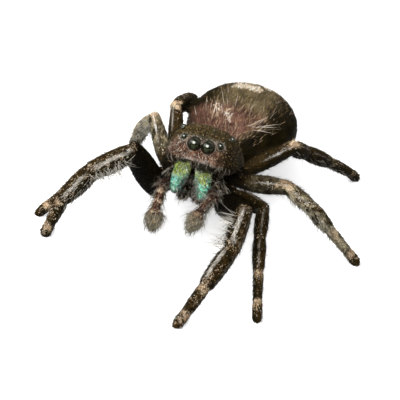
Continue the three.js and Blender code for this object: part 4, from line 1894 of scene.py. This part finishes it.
@dataclass
class Studio:
    """Camera, floor and light. Lengths are in millimetres and angles in degrees."""

    azimuth: float = 13.2
    elevation: float = 28.8
    roll: float = 12.0
    distance: float = 130.0
    view_width: float = 18.867925
    sensor: float = 36.0
    aim_from_head: tuple[float, float, float] = (0.056, 0.584, -2.948)
    lamps_aim: tuple[float, float, float] = (0.0, 0.0, 3.0)
    lamps: tuple[Lamp, ...] = (
        Lamp("flash", (-16, -88, 92), 108, 0.265),
        Lamp("side", (-90, -30, 70), 110, 0.05),
        Lamp("rim", (10, 90, 90), 110, 0.035),
    )
    sky: float = 0.16
    mirrored_sky: float = 0.05
    floor_reach: float = 600.0
    floor_glow: float = 0.5

    def camera(self, head: HeadFrame) -> None:
        """Puts the camera in front of the animal, a little above it and to its left.

        Args:
            head: the head's frame, from which the camera is placed.
        """
        azimuth, elevation, roll = (math.radians(a) for a in (self.azimuth, self.elevation, self.roll))
        back = np.array([math.sin(azimuth) * math.cos(elevation), -math.cos(azimuth) * math.cos(elevation),
                         math.sin(elevation)])
        right = np.array([math.cos(azimuth), math.sin(azimuth), 0])
        up = np.cross(back, right)
        c, s = math.cos(roll), math.sin(roll)
        axes = np.array([c * right + s * up, -s * right + c * up, back])
        place = head.centre + self.aim_from_head + back * self.distance
        data = bpy.data.cameras.new("camera")
        data.lens = self.sensor * self.distance / self.view_width
        data.sensor_width, data.clip_start, data.clip_end = self.sensor, 0.001, 10.0
        camera = shown("camera", data)
        turned = Matrix(axes.T.tolist()).to_quaternion()
        camera.matrix_world = Matrix.LocRotScale(Vector(place * MM), turned, None)
        bpy.context.scene.camera = camera

    def lights(self) -> None:
        """Soft light from above the camera, a little from the animal's right and from behind, and a sky."""
        for lamp in self.lamps:
            lamp.build(self.lamps_aim)
        world = bpy.data.worlds.new("studio")
        world.use_nodes = True
        nodes = Nodes(world.node_tree)
        mirrored = nodes.seen_by("Glossy", "Transmission") * self.mirrored_sky
        background = world.node_tree.nodes["Background"]
        nodes.feed(background, "Color", pigment("ffffff"))
        nodes.feed(background, "Strength", nodes.seen_by("Camera") * (1 - self.sky) + mirrored + self.sky)
        bpy.context.scene.world = world
        bpy.context.scene.view_settings.view_transform = "Standard"

    def floor(self) -> None:
        """Lays a pale floor that keeps the animal's shadow and throws little light back at it."""
        mesh = bpy.data.meshes.new("floor")
        reach = self.floor_reach * MM
        mesh.from_pydata([(-reach, -reach, 0), (reach, -reach, 0), (reach, reach, 0), (-reach, reach, 0)], [],
                         [(0, 1, 2, 3)])
        shader = Shader("floor")
        pale = shader.mix(shader.noise(30.0, 1.0) * 0.1, pigment("ffffff"), pigment("fafaf6"))
        seen = shader.seen_by("Camera", "Glossy", "Transmission")
        glow = shader.seen_by("Camera") * self.floor_glow
        shader.surface(Base_Color=shader.mix(seen, pigment("3a3a30"), pale), Roughness=0.9,
                       Emission_Color=pigment("ffffff"), Emission_Strength=glow)
        mesh.materials.append(shader.material)
        shown("floor", mesh)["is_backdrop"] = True


def main() -> None:
    """Builds the animal piece by piece."""
    logging.basicConfig(level=logging.INFO, format="%(name)s: %(message)s")
    head = HeadFrame()
    studio = Studio()
    studio.camera(head)
    studio.lights()
    studio.floor()
    eyes = all_eyes()
    skin = Skin(Anatomy(head), Markings(eyes))
    skin.shape()
    skin.dress()
    Eyes(eyes).build()
    build_jaws(skin)
    for part in (HeadCoat, AbdomenCoat, LegCoat, PalpCoat, UndersideCoat):
        part(skin).build()
    ({"cad": [list(corner) for corner in CAD_BOX],
               "visual": [list(corner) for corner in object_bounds()]})


if __name__ == "__main__":
    main()
